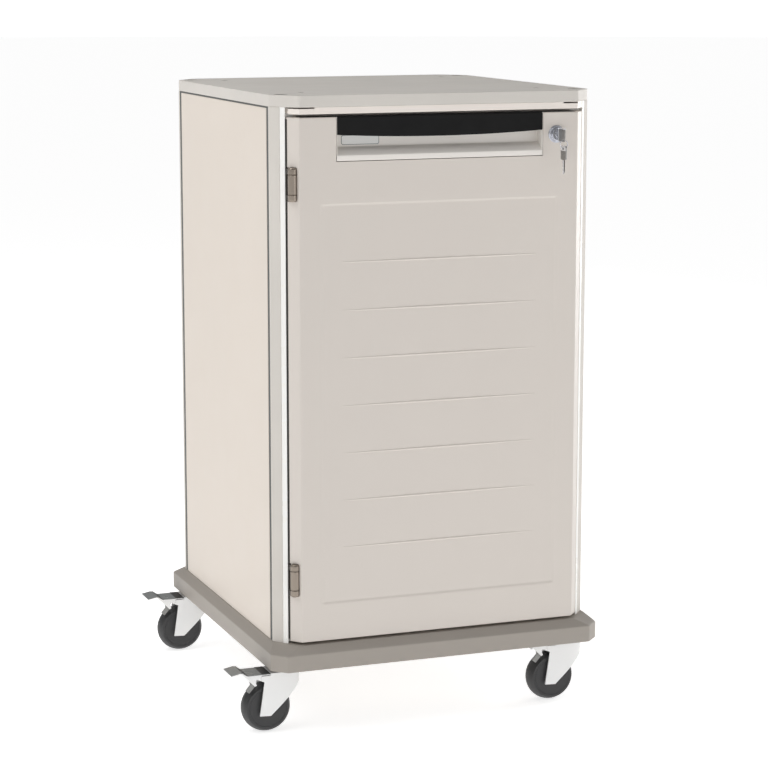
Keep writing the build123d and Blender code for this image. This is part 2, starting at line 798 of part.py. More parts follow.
with BuildPart() as handle_grip:
    with BuildSketch(front_view(0)):
        with BuildLine():
            Polyline(
                (pocket_half_width, grip_end_z),
                (pocket_half_width, door_top),
                (-pocket_half_width, door_top),
                (-pocket_half_width, grip_end_z),
            )
            ThreePointArc(
                (-pocket_half_width, grip_end_z), (0, grip_middle_z), (pocket_half_width, grip_end_z)
            )
        make_face()
    extrude(amount=-grip_thickness)
    with BuildSketch(plan.offset(door_top)):
        box_sketch(-pocket_half_width, 0, pocket_half_width, pocket_depth)
    extrude(amount=-door_rim)
    front_edges = handle_grip.faces().sort_by(Axis.Y)[0].edges()
    fillet(front_edges.sort_by(Axis.Z)[-1], 1.5)
finish(handle_grip, "handle_grip")

with BuildPart() as label_plate:
    with BuildSketch(front_view(pocket_depth)):
        with Locations((-137.2, 1014.2)):
            RectangleRounded(67.5, 16.3, 3.0)
    extrude(amount=0.8)
finish(label_plate, "label_plate")

# ---- Lock and keys -------------------------------------------------------------------------
rosette_radius = 15.0
rosette_thickness = 2.5
barrel_radius = 11.0
barrel_front = -8.0
housing_back = 36.0
lock_nut_radius = 13.0
lock_nut_thickness = 4.0
plug_bore = 6.0
plug_front = -8.5
cam_front = 38.6
cam_thickness = 3.0
cam_half_width = 8.0
cam_reach = 45.4
key_half_thickness = 1.0
key_slot = 1.1
key_blade_half = 3.3
key_blade_end = 11.0
bow_near = -9.5
bow_far = -35.5
bow_half_height = 11.5
key_hole_radius = 2.75
ring_y = -31.0
key_hole_drop = 8.5  # the ring's hole lies this far below the lock's axis
ring_radius = 7.0
ring_wire = 0.6
lock_axis = Plane(
    origin=(cabinet_x + lock_x, front_y, lock_z), x_dir=(1, 0, 0), z_dir=(0, -1, 0)
)  # seen from the front, centred on the keyhole
key_plane = Plane(
    origin=(cabinet_x + lock_x, front_y, lock_z), x_dir=(0, 1, 0), z_dir=(1, 0, 0)
)  # seen from the right side, x to the back, centred on the keyhole

with BuildPart() as lock_housing:
    with BuildSketch(lock_axis):
        Circle(rosette_radius)
    extrude(amount=rosette_thickness)
    with BuildSketch(lock_axis):
        Circle(barrel_radius)
    extrude(amount=-barrel_front)
    with BuildSketch(lock_axis):
        Circle(lock_body_radius)
    extrude(amount=-housing_back)
    with BuildSketch(lock_axis.offset(-door_depth)):
        RegularPolygon(lock_nut_radius, 6)
    extrude(amount=-lock_nut_thickness)
    with BuildSketch(lock_axis):
        Circle(plug_bore)
    extrude(amount=housing_back + 10, both=True, mode=Mode.SUBTRACT)
finish(lock_housing, "lock_housing")

with BuildPart() as lock_plug:
    with BuildSketch(lock_axis.offset(-plug_front)):
        Circle(plug_bore - running_gap)
    extrude(amount=plug_front - cam_front)
    with BuildSketch(key_plane):
        box_sketch(plug_front - 1, -key_blade_half - 0.2, key_blade_end + 1, key_blade_half + 0.2)
    extrude(amount=key_slot, both=True, mode=Mode.SUBTRACT)
finish(lock_plug, "lock_plug")

with BuildPart() as lock_cam:
    with BuildSketch(lock_axis.offset(-cam_front)):
        with Locations((0, (cam_half_width - cam_reach) / 2)):
            SlotCenterToCenter(cam_reach - cam_half_width, 2 * cam_half_width, rotation=90)
    extrude(amount=-cam_thickness)
    with BuildSketch(lock_axis.offset(-cam_front - cam_thickness)):
        RegularPolygon(5.0, 6)
    extrude(amount=-3.0)
finish(lock_cam, "lock_cam")

with BuildPart() as key:
    with BuildSketch(key_plane):
        with Locations(((bow_near + bow_far) / 2, 0)):
            RectangleRounded(bow_near - bow_far, 2 * bow_half_height, 3.0)
        box_sketch(bow_near - 2, -key_blade_half, key_blade_end, key_blade_half)
        with Locations((ring_y, -key_hole_drop)):
            Circle(key_hole_radius, mode=Mode.SUBTRACT)
    extrude(amount=key_half_thickness, both=True)
finish(key, "key")

with BuildPart() as key_ring:
    ring_plane = Plane(
        origin=(cabinet_x + lock_x, front_y + ring_y, lock_z - key_hole_drop - ring_radius),
        z_dir=(0, 1, 0),
    )
    with Locations(ring_plane):
        Torus(ring_radius, ring_wire)
finish(key_ring, "key_ring")

spare_hole = -key_hole_drop - 2 * ring_radius
with BuildPart() as spare_key:
    with BuildSketch(key_plane):
        with Locations((ring_y, spare_hole - 7.5)):
            RectangleRounded(2 * (keys_reach + ring_y), 24.0, 7.0)
        box_sketch(ring_y - 3.0, spare_hole - 44.0, ring_y + 3.0, spare_hole - 18.0)
        with Locations((ring_y, spare_hole)):
            Circle(key_hole_radius, mode=Mode.SUBTRACT)
        for index in range(4):
            with Locations((ring_y + 3.0, spare_hole - 27.0 - index * 4.2)):
                Rectangle(2.4, 1.8, rotation=45, mode=Mode.SUBTRACT)
    extrude(amount=key_half_thickness, both=True)
finish(spare_key, "spare_key")

with BuildPart() as strike_plate:
    with BuildSketch(plan.offset(1000.0)):
        Polygon(
            (flange_inner_x - 1.2, flange_front),
            (flange_inner_x, flange_front),
            (flange_inner_x, flange_back),
            (post_inner_x - 0.1, flange_back),
            (post_inner_x - 0.1, flange_back + 1.2),
            (flange_inner_x - 1.2, flange_back + 1.2),
            align=None,
        )
    extrude(amount=33.0)
finish(strike_plate, "strike_plate")
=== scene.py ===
"""Looks of the mobile bedside cabinet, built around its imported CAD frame.

Lengths are written in millimetres in the cabinet's own plan: x from the middle of the door to the
right, y from the door's face to the back, z up from the floor. at() turns them into the row frame.
"""

import math

import bmesh
import bpy
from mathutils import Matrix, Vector


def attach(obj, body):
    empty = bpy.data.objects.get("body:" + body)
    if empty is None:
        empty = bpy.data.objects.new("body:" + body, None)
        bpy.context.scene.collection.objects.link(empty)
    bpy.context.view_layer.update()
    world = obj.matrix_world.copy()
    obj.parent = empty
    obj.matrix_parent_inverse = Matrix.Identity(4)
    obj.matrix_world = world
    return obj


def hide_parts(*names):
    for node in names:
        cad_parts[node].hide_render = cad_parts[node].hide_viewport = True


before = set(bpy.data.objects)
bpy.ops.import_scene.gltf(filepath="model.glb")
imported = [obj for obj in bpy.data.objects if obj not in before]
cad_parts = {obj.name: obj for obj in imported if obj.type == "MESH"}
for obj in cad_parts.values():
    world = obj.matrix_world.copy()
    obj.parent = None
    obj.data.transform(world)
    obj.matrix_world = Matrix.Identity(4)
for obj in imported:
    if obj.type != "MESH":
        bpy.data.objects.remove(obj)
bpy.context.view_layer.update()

MM = 0.001
PLAN_X = 33.4  # from the plan's origin to the frame's
PLAN_Y = -302.8
BODY_HALF = 290.0
DEPTH = 633.0
BASE_TOP = 157.4
WORKTOP_LOW = 1070.7
WORKTOP_TOP = 1090.5
DOOR_LOW = 161.9
DOOR_TOP = 1054.1
LOCK_X = 212.0
LOCK_Z = 1016.5
HINGE_X = -262.2  # the hinge pins' axis
HINGE_Y = 7.2
HINGE_LOWS = (242.6, 915.6)
HINGE_TALL = 56.3
HINGE_END = 11.3  # height of an outer knuckle
CASTORS = {
    "front_left": (-267.4, 46.1),
    "front_right": (267.4, 46.1),
    "rear_left": (-267.4, 586.9),
    "rear_right": (267.4, 586.9),
}
TRAIL = 36.9  # from a castor's stem back to its axle
WHEEL_Z = 43.5


def at(x, y, z):
    """A place in the cabinet's plan, as a point of the row frame."""
    return Vector(((x + PLAN_X) * MM, (y + PLAN_Y) * MM, z * MM))


# ---- Materials ----------------


def linear(rgb):
    """sRGB values from 0 to 255, as linear ones."""
    parts = [c / 255 for c in rgb]
    return [c / 12.92 if c <= 0.04045 else ((c + 0.055) / 1.055) ** 2.4 for c in parts] + [1.0]


class Shader:
    """A material's node tree, with short ways to add and join nodes."""

    def __init__(self, name):
        self.material = bpy.data.materials.new(name)
        self.material.use_nodes = True
        self.tree = self.material.node_tree
        self.bsdf = self.tree.nodes["Principled BSDF"]
        coords = self.tree.nodes.new("ShaderNodeTexCoord")
        self.coords = coords.outputs["Object"]

    def node(self, kind, **settings):
        made = self.tree.nodes.new(kind)
        for key, value in settings.items():
            setattr(made, key, value)
        return made

    def join(self, out, into):
        self.tree.links.new(out, into)

    def fix(self, setting, value):
        self.bsdf.inputs[setting].default_value = value

    def noise(self, scale, detail, stretch=(1, 1, 1)):
        mapping = self.node("ShaderNodeMapping")
        mapping.inputs["Scale"].default_value = stretch
        self.join(self.coords, mapping.inputs["Vector"])
        texture = self.node("ShaderNodeTexNoise")
        texture.inputs["Scale"].default_value = scale
        texture.inputs["Detail"].default_value = detail
        self.join(mapping.outputs["Vector"], texture.inputs["Vector"])
        return texture.outputs["Fac"]

    def ramp(self, value, low, high, out_low, out_high):
        """A value's stretch from low to high, spread over out_low to out_high."""
        spread = self.node("ShaderNodeMapRange")
        spread.inputs["From Min"].default_value = low
        spread.inputs["From Max"].default_value = high
        spread.inputs["To Min"].default_value = out_low
        spread.inputs["To Max"].default_value = out_high
        self.join(value, spread.inputs["Value"])
        return spread.outputs["Result"]

    def mix(self, factor, first, second):
        """Blend of two colours or colour sockets by a socket."""
        mixer = self.node("ShaderNodeMix", data_type="RGBA")
        for socket, value in ((mixer.inputs[6], first), (mixer.inputs[7], second)):
            if isinstance(value, bpy.types.NodeSocket):
                self.join(value, socket)
            else:
                socket.default_value = value
        self.join(factor, mixer.inputs[0])
        return mixer.outputs[2]

    def bump(self, height, strength, distance):
        bump = self.node("ShaderNodeBump")
        bump.inputs["Strength"].default_value = strength
        bump.inputs["Distance"].default_value = distance
        self.join(height, bump.inputs["Height"])
        self.join(bump.outputs["Normal"], self.bsdf.inputs["Normal"])


def scaled(colour, factor):
    """A linear colour made lighter or darker."""
    return [min(1.0, c * factor) for c in colour[:3]] + [1.0]


def surface(
    name,
    colour,
    rough,
    metal=0.0,
    mottle=0.03,
    grain_scale=900.0,
    grain=0.08,
    stretch=(1, 1, 1),
    coat=0.0,
    wear_and_hollow_shade=0.5,
    spread=0.06,
    specular=0.5,
    glow=0.0,
):
    """Moulded or metal surface: soft mottling, uneven gloss, fine grain, slightly worn edges, painted shade
    in hollows and, with glow, a little painted light.
    """
    shader = Shader(name)
    colour = linear(colour)
    clouds = shader.ramp(shader.noise(7.0, 5.0), 0.3, 0.7, 0.0, 1.0)
    tone = shader.mix(clouds, scaled(colour, 1 - mottle), scaled(colour, 1 + mottle))
    specks = shader.ramp(shader.noise(260.0, 2.0, stretch), 0.62, 0.75, 0.0, mottle * 2.0)
    tone = shader.mix(specks, tone, scaled(colour, 0.7))
    geometry = shader.node("ShaderNodeNewGeometry")
    edge = shader.ramp(geometry.outputs["Pointiness"], 0.52, 0.60, 0.0, wear_and_hollow_shade * 0.3)
    tone = shader.mix(edge, tone, scaled(colour, 1.12))
    # Painted shade: concave places are blended towards a darker copy of the colour, as if shade lay in
    # them.
    hollow_shade = shader.ramp(geometry.outputs["Pointiness"], 0.40, 0.48, wear_and_hollow_shade * 0.35, 0.0)
    tone = shader.mix(hollow_shade, tone, scaled(colour, 0.6))
    shader.join(tone, shader.bsdf.inputs["Base Color"])
    gloss = shader.noise(23.0, 6.0, stretch)
    rough_low, rough_high = max(0.02, rough - spread), rough + spread
    shader.join(shader.ramp(gloss, 0.3, 0.7, rough_low, rough_high), shader.bsdf.inputs["Roughness"])
    shader.fix("Metallic", metal)
    shader.fix("Coat Weight", coat)
    shader.fix("Coat Roughness", 0.12)
    shader.fix("Specular IOR Level", specular)
    shader.fix("Emission Color", (1, 1, 1, 1))
    # Emission here is painted light: a surface with glow shines a little by itself.
    shader.fix("Emission Strength", glow)
    shader.bump(shader.noise(grain_scale, 3.0, stretch), grain, 0.0004)
    return shader.material


M = {
    "worktop": surface("worktop_laminate", (225, 220, 213), 0.55, grain=0.12, grain_scale=1400),
    "plug": surface("worktop_cap", (156, 155, 150), 0.5),
    "screw": surface("worktop_screw", (98, 97, 93), 0.5),
    "post": surface("post_light_grey", (225, 220, 213), 0.7, grain=0.05, wear_and_hollow_shade=0.15, specular=0.25),
    # The jamb's slight glow is painted light that brightens it.
    "jamb": surface("bright_white", (253, 252, 248), 0.3, mottle=0.008, wear_and_hollow_shade=0.15, glow=0.05),
    "rail": surface("rail_warm_white", (252, 243, 235), 0.32, mottle=0.008),
    "pocket": surface("pocket_white", (252, 246, 239), 0.35, mottle=0.01),
    "door": surface("door_off_white", (229, 221, 213), 0.36, mottle=0.006, grain=0.1, spread=0.03),
    "panel": surface("panel_cream", (233, 222, 210), 0.4, mottle=0.006, grain=0.06, spread=0.03),
    "gasket": surface("gasket_grey", (92, 94, 92), 0.6, mottle=0.05),
    "base": surface("bumper_grey", (173, 166, 158), 0.45, mottle=0.008, spread=0.015, specular=0.25),
    "seal": surface("seal_black", (26, 26, 27), 0.65),
    "grip": surface("grip_black", (9, 9, 10), 0.6, mottle=0.05, specular=0.25),
    "inside": surface("inside_white", (226, 224, 218), 0.4),
    "steel": surface("dark_steel", (60, 60, 62), 0.5, metal=0.4),
    "hinge": surface("hinge_champagne", (152, 141, 130), 0.3, metal=0.8, mottle=0.06, stretch=(1, 1, 0.05)),
    # Hinge metal darkened as painted shade, for the plates that sit in the shaded gap.
    "hinge_painted_shade": surface("hinge_plate_painted_shade", (58, 53, 49), 0.5, metal=0.6, mottle=0.05),
    "chrome": surface("chrome", (196, 198, 206), 0.24, metal=0.95, mottle=0.02, spread=0.04),
    "zinc": surface("zinc", (180, 182, 184), 0.35, metal=1.0, mottle=0.08),
    "key": surface("key_nickel", (150, 149, 147), 0.28, metal=0.9, mottle=0.1),
    # Lighter key metal: a painted highlight on the first key's bow rim, polish on the second key's cap and
    # blade.
    "key_bright": surface("key_polish_and_highlight", (236, 237, 240), 0.18, metal=0.7, mottle=0.03),
    # Painted shade for the strips in the door's edge gap.
    "edge": surface("gap_shade_grey", (84, 82, 78), 0.6),
    "fork": surface("fork_white", (254, 254, 253), 0.22, mottle=0.012, coat=0.3),
    # Dark grey of the pedal marks: painted shade.
    "foot": surface("pedal_painted_shade", (66, 66, 65), 0.5, mottle=0.05),
    "tread": surface("pedal_tread", (138, 142, 142), 0.25, mottle=0.05),
    "tyre": surface("tyre_dark", (59, 59, 60), 0.5, mottle=0.1, grain=0.2),
    "core": surface("wheel_core", (57, 57, 58), 0.5, mottle=0.08),
    "shoe": surface("shoe_grey", (150, 150, 148), 0.6, mottle=0.08),
    "label": surface("label_blank", (248, 248, 245), 0.35, mottle=0.01),
    "label_rim": surface("label_rim", (150, 152, 152), 0.4),
    # Near-black for the hub inside the fork: painted shade.
    "fork_hollow_shade": surface("fork_hollow_painted_shade", (14, 14, 14), 0.8),
}

# Looks of the CAD meshes, by how a node's name starts, or for the castors by how it ends.
LOOK_BY_START = {
    "worktop": "worktop", "worktop_plugs": "plug", "worktop_screws": "plug", "post_": "post",
    "panel_left": "panel", "panel_right": "panel", "panel_back": "panel", "panel_gaskets": "gasket",
    "jamb": "jamb", "top_rail": "jamb", "bottom_deck": "inside", "base_bumper": "base",
    "chassis": "steel", "side_liners": "inside", "shelves": "inside", "strike": "zinc",
    "hinge": "hinge", "castor_heads": "zinc", "door_skin": "door", "door_liner": "door",
    "door_seal": "seal", "handle_pocket": "pocket", "handle_grip": "grip", "label": "label",
    "lock": "chrome", "lock_cam": "zinc", "key": "key", "key_ring": "chrome", "spare_key": "key",
}
LOOK_BY_END = {
    "_fork": "fork", "_pins": "zinc", "_tyre": "tyre", "_wheel_core": "core", "_pedal": "fork",
    "_brake_shoe": "shoe",
}
for node_name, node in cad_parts.items():
    look = None
    for start, kind in LOOK_BY_START.items():
        if node_name.startswith(start):
            look = kind
    for ending, kind in LOOK_BY_END.items():
        if node_name.endswith(ending):
            look = kind
    node.data.materials.clear()
    node.data.materials.append(M[look])

# ---- Stage ----------------
scene = bpy.context.scene
scene.view_settings.view_transform = "Standard"

world = bpy.data.worlds.new("studio")
scene.world = world
world.use_nodes = True
world.node_tree.nodes["Background"].inputs["Color"].default_value = (1, 1, 1, 1)
world.node_tree.nodes["Background"].inputs["Strength"].default_value = 0.30


def area_light(name, place, target, size, power):
    """Rectangular light in metres and watts, turned to a target and hidden from the camera."""
    data = bpy.data.lights.new(name, "AREA")
    data.shape = "RECTANGLE"
    data.size, data.size_y = size
    data.energy = power
    light = bpy.data.objects.new(name, data)
    scene.collection.objects.link(light)
    light.location = place
    light.rotation_euler = (Vector(target) - Vector(place)).to_track_quat("-Z", "Y").to_euler()
    light.visible_camera = False


area_light("left_softbox", (-2.9, -0.75, 3.8), (0, 0, 0.6), (2.4, 2.4), 37)
area_light("right_softbox", (4.2, 1.5, 1.6), (0, 0, 0.6), (2.6, 3.0), 66)
area_light("overhead_softbox", (-0.95, 0.0, 3.3), (-0.3, 0, 0.3), (1.0, 1.0), 12)
area_light("strip_light", (2.25, -2.68, 0.7), (0, 0, 0.5), (0.15, 1.4), 4)


def stage_surface(name, verts, faces, look, grey, rough, glow):
    """Part of the surroundings, in metres: a pale surface that gives off some light itself."""
    mesh = bpy.data.meshes.new(name)
    mesh.from_pydata(verts, [], faces)
    made = bpy.data.objects.new(name, mesh)
    scene.collection.objects.link(made)
    shader = Shader(look)
    shader.fix("Base Color", (grey, grey, grey, 1))
    shader.fix("Roughness", rough)
    shader.fix("Emission Color", (1, 1, 1, 1))
    shader.fix("Emission Strength", glow)
    made.data.materials.append(shader.material)
    return made


FLOOR_HALF = 300.0
floor_corners = [
    (-FLOOR_HALF, -FLOOR_HALF, 0), (FLOOR_HALF, -FLOOR_HALF, 0),
    (FLOOR_HALF, FLOOR_HALF, 0), (-FLOOR_HALF, FLOOR_HALF, 0),
]
floor = stage_surface("floor", floor_corners, [(0, 1, 2, 3)], "floor_pale", 0.92, 0.9, 0.70)

# Far white wall round the floor: it carries the pale ground up behind low views and lights nothing.
WALL_RADIUS = 40.0
WALL_LOW, WALL_HIGH = -0.5, 30.0
WALL_SIDES = 60
wall_angles = [2 * math.pi * i / WALL_SIDES for i in range(WALL_SIDES)]
wall_verts = [
    (WALL_RADIUS * math.cos(a), WALL_RADIUS * math.sin(a), z)
    for z in (WALL_LOW, WALL_HIGH)
    for a in wall_angles
]
wall_faces = [
    (i, (i + 1) % WALL_SIDES, WALL_SIDES + (i + 1) % WALL_SIDES, WALL_SIDES + i)
    for i in range(WALL_SIDES)
]
wall = stage_surface("far_wall", wall_verts, wall_faces, "wall_white", 0.9, 0.5, 1.0)
wall.visible_diffuse = False
wall.visible_glossy = False
wall.visible_shadow = False

# The photograph's camera: a long lens, a little left of the door's middle and above it.
AZIMUTH = math.radians(-20.535)
ELEVATION = math.radians(9.828)
camera_data = bpy.data.cameras.new("camera")
camera_data.lens = 114.19
camera_data.sensor_width = 36.0
camera_data.clip_end = 1000.0
camera = bpy.data.objects.new("camera", camera_data)
scene.collection.objects.link(camera)
scene.camera = camera
back = Vector(
    (
        math.sin(AZIMUTH) * math.cos(ELEVATION),
        -math.cos(AZIMUTH) * math.cos(ELEVATION),
        math.sin(ELEVATION),
    )
)
camera.location = at(-1531.1, -3812.5, 1306.6)
camera.rotation_mode = "QUATERNION"
camera.rotation_quaternion = (-back).to_track_quat("-Z", "Y")


# ---- Mesh building ----------------


def rounded(points, radii, steps=5):
    """Closed outline with its corners rounded; a radius of 0 leaves a corner sharp."""
    out = []
    count = len(points)
    for index, here in enumerate(points):
        radius = radii[index] if isinstance(radii, (list, tuple)) else radii
        here = Vector(here)
        before = (Vector(points[index - 1]) - here).normalized()
        after = (Vector(points[(index + 1) % count]) - here).normalized()
        if radius <= 0:
            out.append((here.x, here.y))
            continue
        half = math.acos(max(-1.0, min(1.0, before.dot(after)))) / 2
        reach = radius / math.tan(half)
        centre = here + (before + after).normalized() * (radius / math.sin(half))
        start = here + before * reach - centre
        end = here + after * reach - centre
        turn = math.atan2(start.x * end.y - start.y * end.x, start.dot(end))
        for step in range(steps + 1):
            cos, sin = math.cos(turn * step / steps), math.sin(turn * step / steps)
            out.append((centre.x + start.x * cos - start.y * sin, centre.y + start.x * sin + start.y * cos))
    return out


def circle(radius, cx=0.0, cy=0.0, steps=40):
    """Outline of a circle."""
    angles = [2 * math.pi * step / steps for step in range(steps)]
    return [(cx + radius * math.cos(a), cy + radius * math.sin(a)) for a in angles]


def arc(centre, radius, first, last, steps):
    """Points of a stretch of circle between two angles."""
    angles = [first + (last - first) * step / steps for step in range(steps + 1)]
    return [(centre[0] + radius * math.cos(a), centre[1] + radius * math.sin(a)) for a in angles]


def place_z(outline, z):
    """An outline in plan (x, y), at one height."""
    return [(x, y, z) for x, y in outline]


def place_y(outline, y):
    """An outline seen from the front (x, z), at one depth."""
    return [(x, y, z) for x, z in outline]


def place_x(outline, x):
    """An outline seen from the side (y, z), at one width."""
    return [(x, y, z) for y, z in outline]


def loft(loops, caps=True):
    """Vertices and faces of a skin over closed loops of equal length."""
    size = len(loops[0])
    verts = [point for loop in loops for point in loop]
    faces = []
    for row in range(len(loops) - 1):
        here, above = row * size, (row + 1) * size
        for index in range(size):
            following = (index + 1) % size
            faces.append((here + index, here + following, above + following, above + index))
    if caps:
        faces.append(tuple(range(size))[::-1])
        faces.append(tuple((len(loops) - 1) * size + index for index in range(size)))
    return verts, faces


def lathe(profile, steps=48):
    """Solid of revolution about z: profile is (radius, height) pairs, its ends on the axis."""
    return loft([place_z(circle(max(radius, 0.0001), steps=steps), z) for radius, z in profile])


def turned(data, axis, centre=(0, 0, 0)):
    """Moves lathe data so that its axis runs along y or z, through a centre."""
    verts, faces = data
    cx, cy, cz = centre
    if axis == "y":
        return [(x + cx, z + cy, y + cz) for x, y, z in verts], faces
    return [(x + cx, y + cy, z + cz) for x, y, z in verts], faces


def rod(radius, low, high, axis, centre=(0, 0, 0), steps=48):
    """Data of a plain round bar along y or z."""
    return turned(lathe([(0, low), (radius, low), (radius, high), (0, high)], steps), axis, centre)


def prism(place, outline, low, high):
    """Data of an outline drawn out along the axis that place sets it across."""
    return loft([place(outline, low), place(outline, high)])


def joined(*parts):
    """Several vertex and face lists as one."""
    verts, faces = [], []
    for part_verts, part_faces in parts:
        base = len(verts)
        verts += list(part_verts)
        faces += [tuple(base + index for index in face) for face in part_faces]
    return verts, faces


def raw_mesh(name, data, origin=(0.0, 0.0, 0.0)):
    """Mesh object from data in millimetres; its faces are made to point outwards."""
    verts, faces = data
    mesh = bpy.data.meshes.new(name)
    mesh.from_pydata([Vector(v) * MM for v in verts], [], faces)
    edit = bmesh.new()
    edit.from_mesh(mesh)
    bmesh.ops.remove_doubles(edit, verts=edit.verts, dist=1e-6)
    bmesh.ops.recalc_face_normals(edit, faces=edit.faces)
    edit.to_mesh(mesh)
    edit.free()
    made = bpy.data.objects.new(name, mesh)
    scene.collection.objects.link(made)
    made.location = at(*origin)
    return made


def bake(made):
    """Replaces an object's mesh by what its modifiers make of it."""
    bpy.context.view_layer.update()
    graph = bpy.context.evaluated_depsgraph_get()
    mesh = bpy.data.meshes.new_from_object(made.evaluated_get(graph))
    made.modifiers.clear()
    made.data = mesh


def combine(made, data, operation="DIFFERENCE"):
    """Cuts or adds a solid, given in the same millimetres as the object."""
    tool = raw_mesh(made.name + "_tool", data)
    tool.location = made.location
    boolean = made.modifiers.new("boolean", "BOOLEAN")
    boolean.operation = operation
    boolean.solver = "EXACT"
    boolean.object = tool
    bake(made)
    bpy.data.objects.remove(tool)


def soften(made, width, angle=30.0, segments=2):
    """Rounds the edges that are sharper than an angle."""
    bevel = made.modifiers.new("bevel", "BEVEL")
    bevel.width = width * MM
    bevel.segments = segments
    bevel.limit_method = "ANGLE"
    bevel.angle_limit = math.radians(angle)
    bevel.use_clamp_overlap = True
    bake(made)


def shade(made, angle=28.0):
    """Smooth shading, with creases kept where faces meet at more than an angle."""
    for polygon in made.data.polygons:
        polygon.use_smooth = True
    made.data.set_sharp_from_angle(angle=math.radians(angle))
    weighted = made.modifiers.new("weighted", "WEIGHTED_NORMAL")
    weighted.keep_sharp = True
    weighted.weight = 100
    bake(made)


def piece(name, data, look, body, replaces=(), bevel=0.0, origin=(0.0, 0.0, 0.0), angle=28.0):
    """A finished piece: mesh, rounded edges, shading, material, and the CAD body it rides on.

    data is vertices and faces in millimetres, or a mesh object that has been cut already.
    """
    made = raw_mesh(name, data, origin) if isinstance(data, tuple) else data
    if bevel:
        soften(made, bevel)
    shade(made, angle)
    made.data.materials.clear()
    made.data.materials.append(M[look])
    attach(made, body)
    if replaces:
        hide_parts(*replaces)
    return made


def block(x0, y0, z0, x1, y1, z1):
    """Data of a plain box between two opposite corners."""
    return loft([[(x0, y0, z), (x1, y0, z), (x1, y1, z), (x0, y1, z)] for z in (z0, z1)])


# ---- Carcass ----------------


def cut_corners(half, y0, y1, cut_x, cut_y, radius, steps=4):
    """Plan outline of a rectangle with its corners cut off and the new corners rounded."""
    points = [
        (-half + cut_x, y0), (half - cut_x, y0), (half, y0 + cut_y), (half, y1 - cut_y),
        (half - cut_x, y1), (-half + cut_x, y1), (-half, y1 - cut_y), (-half, y0 + cut_y),
    ]
    return rounded(points, radius, steps)


def edge_profile(low, high, radius, steps=4):
    """(height, inset) pairs of a slab whose lower and upper edges are rounded."""
    lower = []
    for step in range(steps, -1, -1):
        angle = math.pi / 2 * step / steps
        lower.append((low + radius * (1 - math.sin(angle)), radius * (1 - math.cos(angle))))
    upper = [(high - (z - low), inset) for z, inset in lower[::-1]]
    return lower + upper


def slab(half, y0, y1, cut_x, cut_y, corner, low, high, radius):
    """Slab with cut corners and rounded edges all round."""
    loops = []
    for z, inset in edge_profile(low, high, radius):
        outline = cut_corners(half - inset, y0 + inset, y1 - inset, cut_x, cut_y, corner)
        loops.append(place_z(outline, z))
    return loft(loops)


# Where the caps lie in the worktop, the radius of their wells, and their (radius, height) profiles.
PLUGS = [(x, y) for x in (-267.4, 267.4) for y in (47.0, 586.0)]
SCREWS = [(x, y) for x in (-216.0, 216.0) for y in (96.0, 537.0)]
PLUG_WELL = 12.6
SCREW_WELL = 6.3
CAP_LOW = 1087.6
PLUG_PROFILE = [
    (0, CAP_LOW), (12.3, CAP_LOW), (12.3, 1089.0), (11.7, 1089.7), (6.5, 1090.0), (6.0, 1089.2),
    (0, 1089.0),
]
SCREW_PROFILE = [(0, CAP_LOW), (6.1, CAP_LOW), (6.1, 1089.5), (5.3, 1090.2), (0, 1090.4)]

worktop_data = slab(BODY_HALF, 0.0, DEPTH, 38.0, 43.0, 7.0, WORKTOP_LOW, WORKTOP_TOP, 1.3)
worktop = raw_mesh("worktop_slab", worktop_data)
wells = [
    rod(radius, WORKTOP_TOP - 3, WORKTOP_TOP + 2, "z", (x, y, 0))
    for spots, radius in ((PLUGS, PLUG_WELL), (SCREWS, SCREW_WELL))
    for x, y in spots
]
combine(worktop, joined(*wells))
piece("worktop_slab", worktop, "worktop", "cabinet", ["worktop"])

plug_parts = [turned(lathe(PLUG_PROFILE), "z", (x, y, 0)) for x, y in PLUGS]
piece("worktop_corner_caps", joined(*plug_parts), "plug", "cabinet", ["worktop_plugs"])
screw_parts = [turned(lathe(SCREW_PROFILE), "z", (x, y, 0)) for x, y in SCREWS]
piece("worktop_screw_caps", joined(*screw_parts), "screw", "cabinet", ["worktop_screws"])

# Plan outlines of the right front post and jamb, with the radius of each corner.
POST = [
    (276.3, 27.5), (290.0, 43.0), (290.0, 48.5), (282.0, 48.5), (282.0, 70.0), (258.0, 70.0), (258.0, 67.0),
    (279.0, 67.0), (279.0, 40.0), (258.0, 40.0), (258.0, 37.0), (276.3, 37.0),
]
POST_ROUND = [0.8, 1.6, 0.8, 0, 0, 0, 0, 0, 0, 0, 0, 0]
JAMB = [(269.3, 19.6), (276.3, 27.5), (276.3, 37.0), (252.0, 37.0), (252.0, 34.0), (269.3, 34.0)]
JAMB_ROUND = [0.9, 0.6, 0, 0, 0, 0]
PANEL_IN = 282.0
PANEL_END = 59.9
PANEL_TOP = 1067.8
GASKET_OUT = 289.3
GASKET_END = 59.7


def corner(points, side, rear):
    """A plan outline mirrored to the left and to the rear."""
    return [(side * x, DEPTH - y if rear else y) for x, y in points]


for side, side_name in ((-1, "left"), (1, "right")):
    for rear, end_name in ((False, "front"), (True, "rear")):
        outline = corner(rounded(POST, POST_ROUND, 3), side, rear)
        piece(
            f"corner_post_{end_name}_{side_name}",
            prism(place_z, outline, BASE_TOP, WORKTOP_LOW),
            "post", "cabinet", [f"post_{end_name}_{side_name}"],
        )
    outline = corner(rounded(JAMB, JAMB_ROUND, 3), side, False)
    piece(
        f"door_jamb_{side_name}",
        prism(place_z, outline, BASE_TOP, WORKTOP_LOW),
        "jamb", "cabinet", [f"jamb_{side_name}"],
    )
    low_x, high_x = sorted((side * BODY_HALF, side * PANEL_IN))
    piece(
        f"side_sheet_{side_name}",
        block(low_x, PANEL_END, BASE_TOP, high_x, DEPTH - PANEL_END, PANEL_TOP),
        "panel", "cabinet", [f"panel_{side_name}"], bevel=0.9,
    )

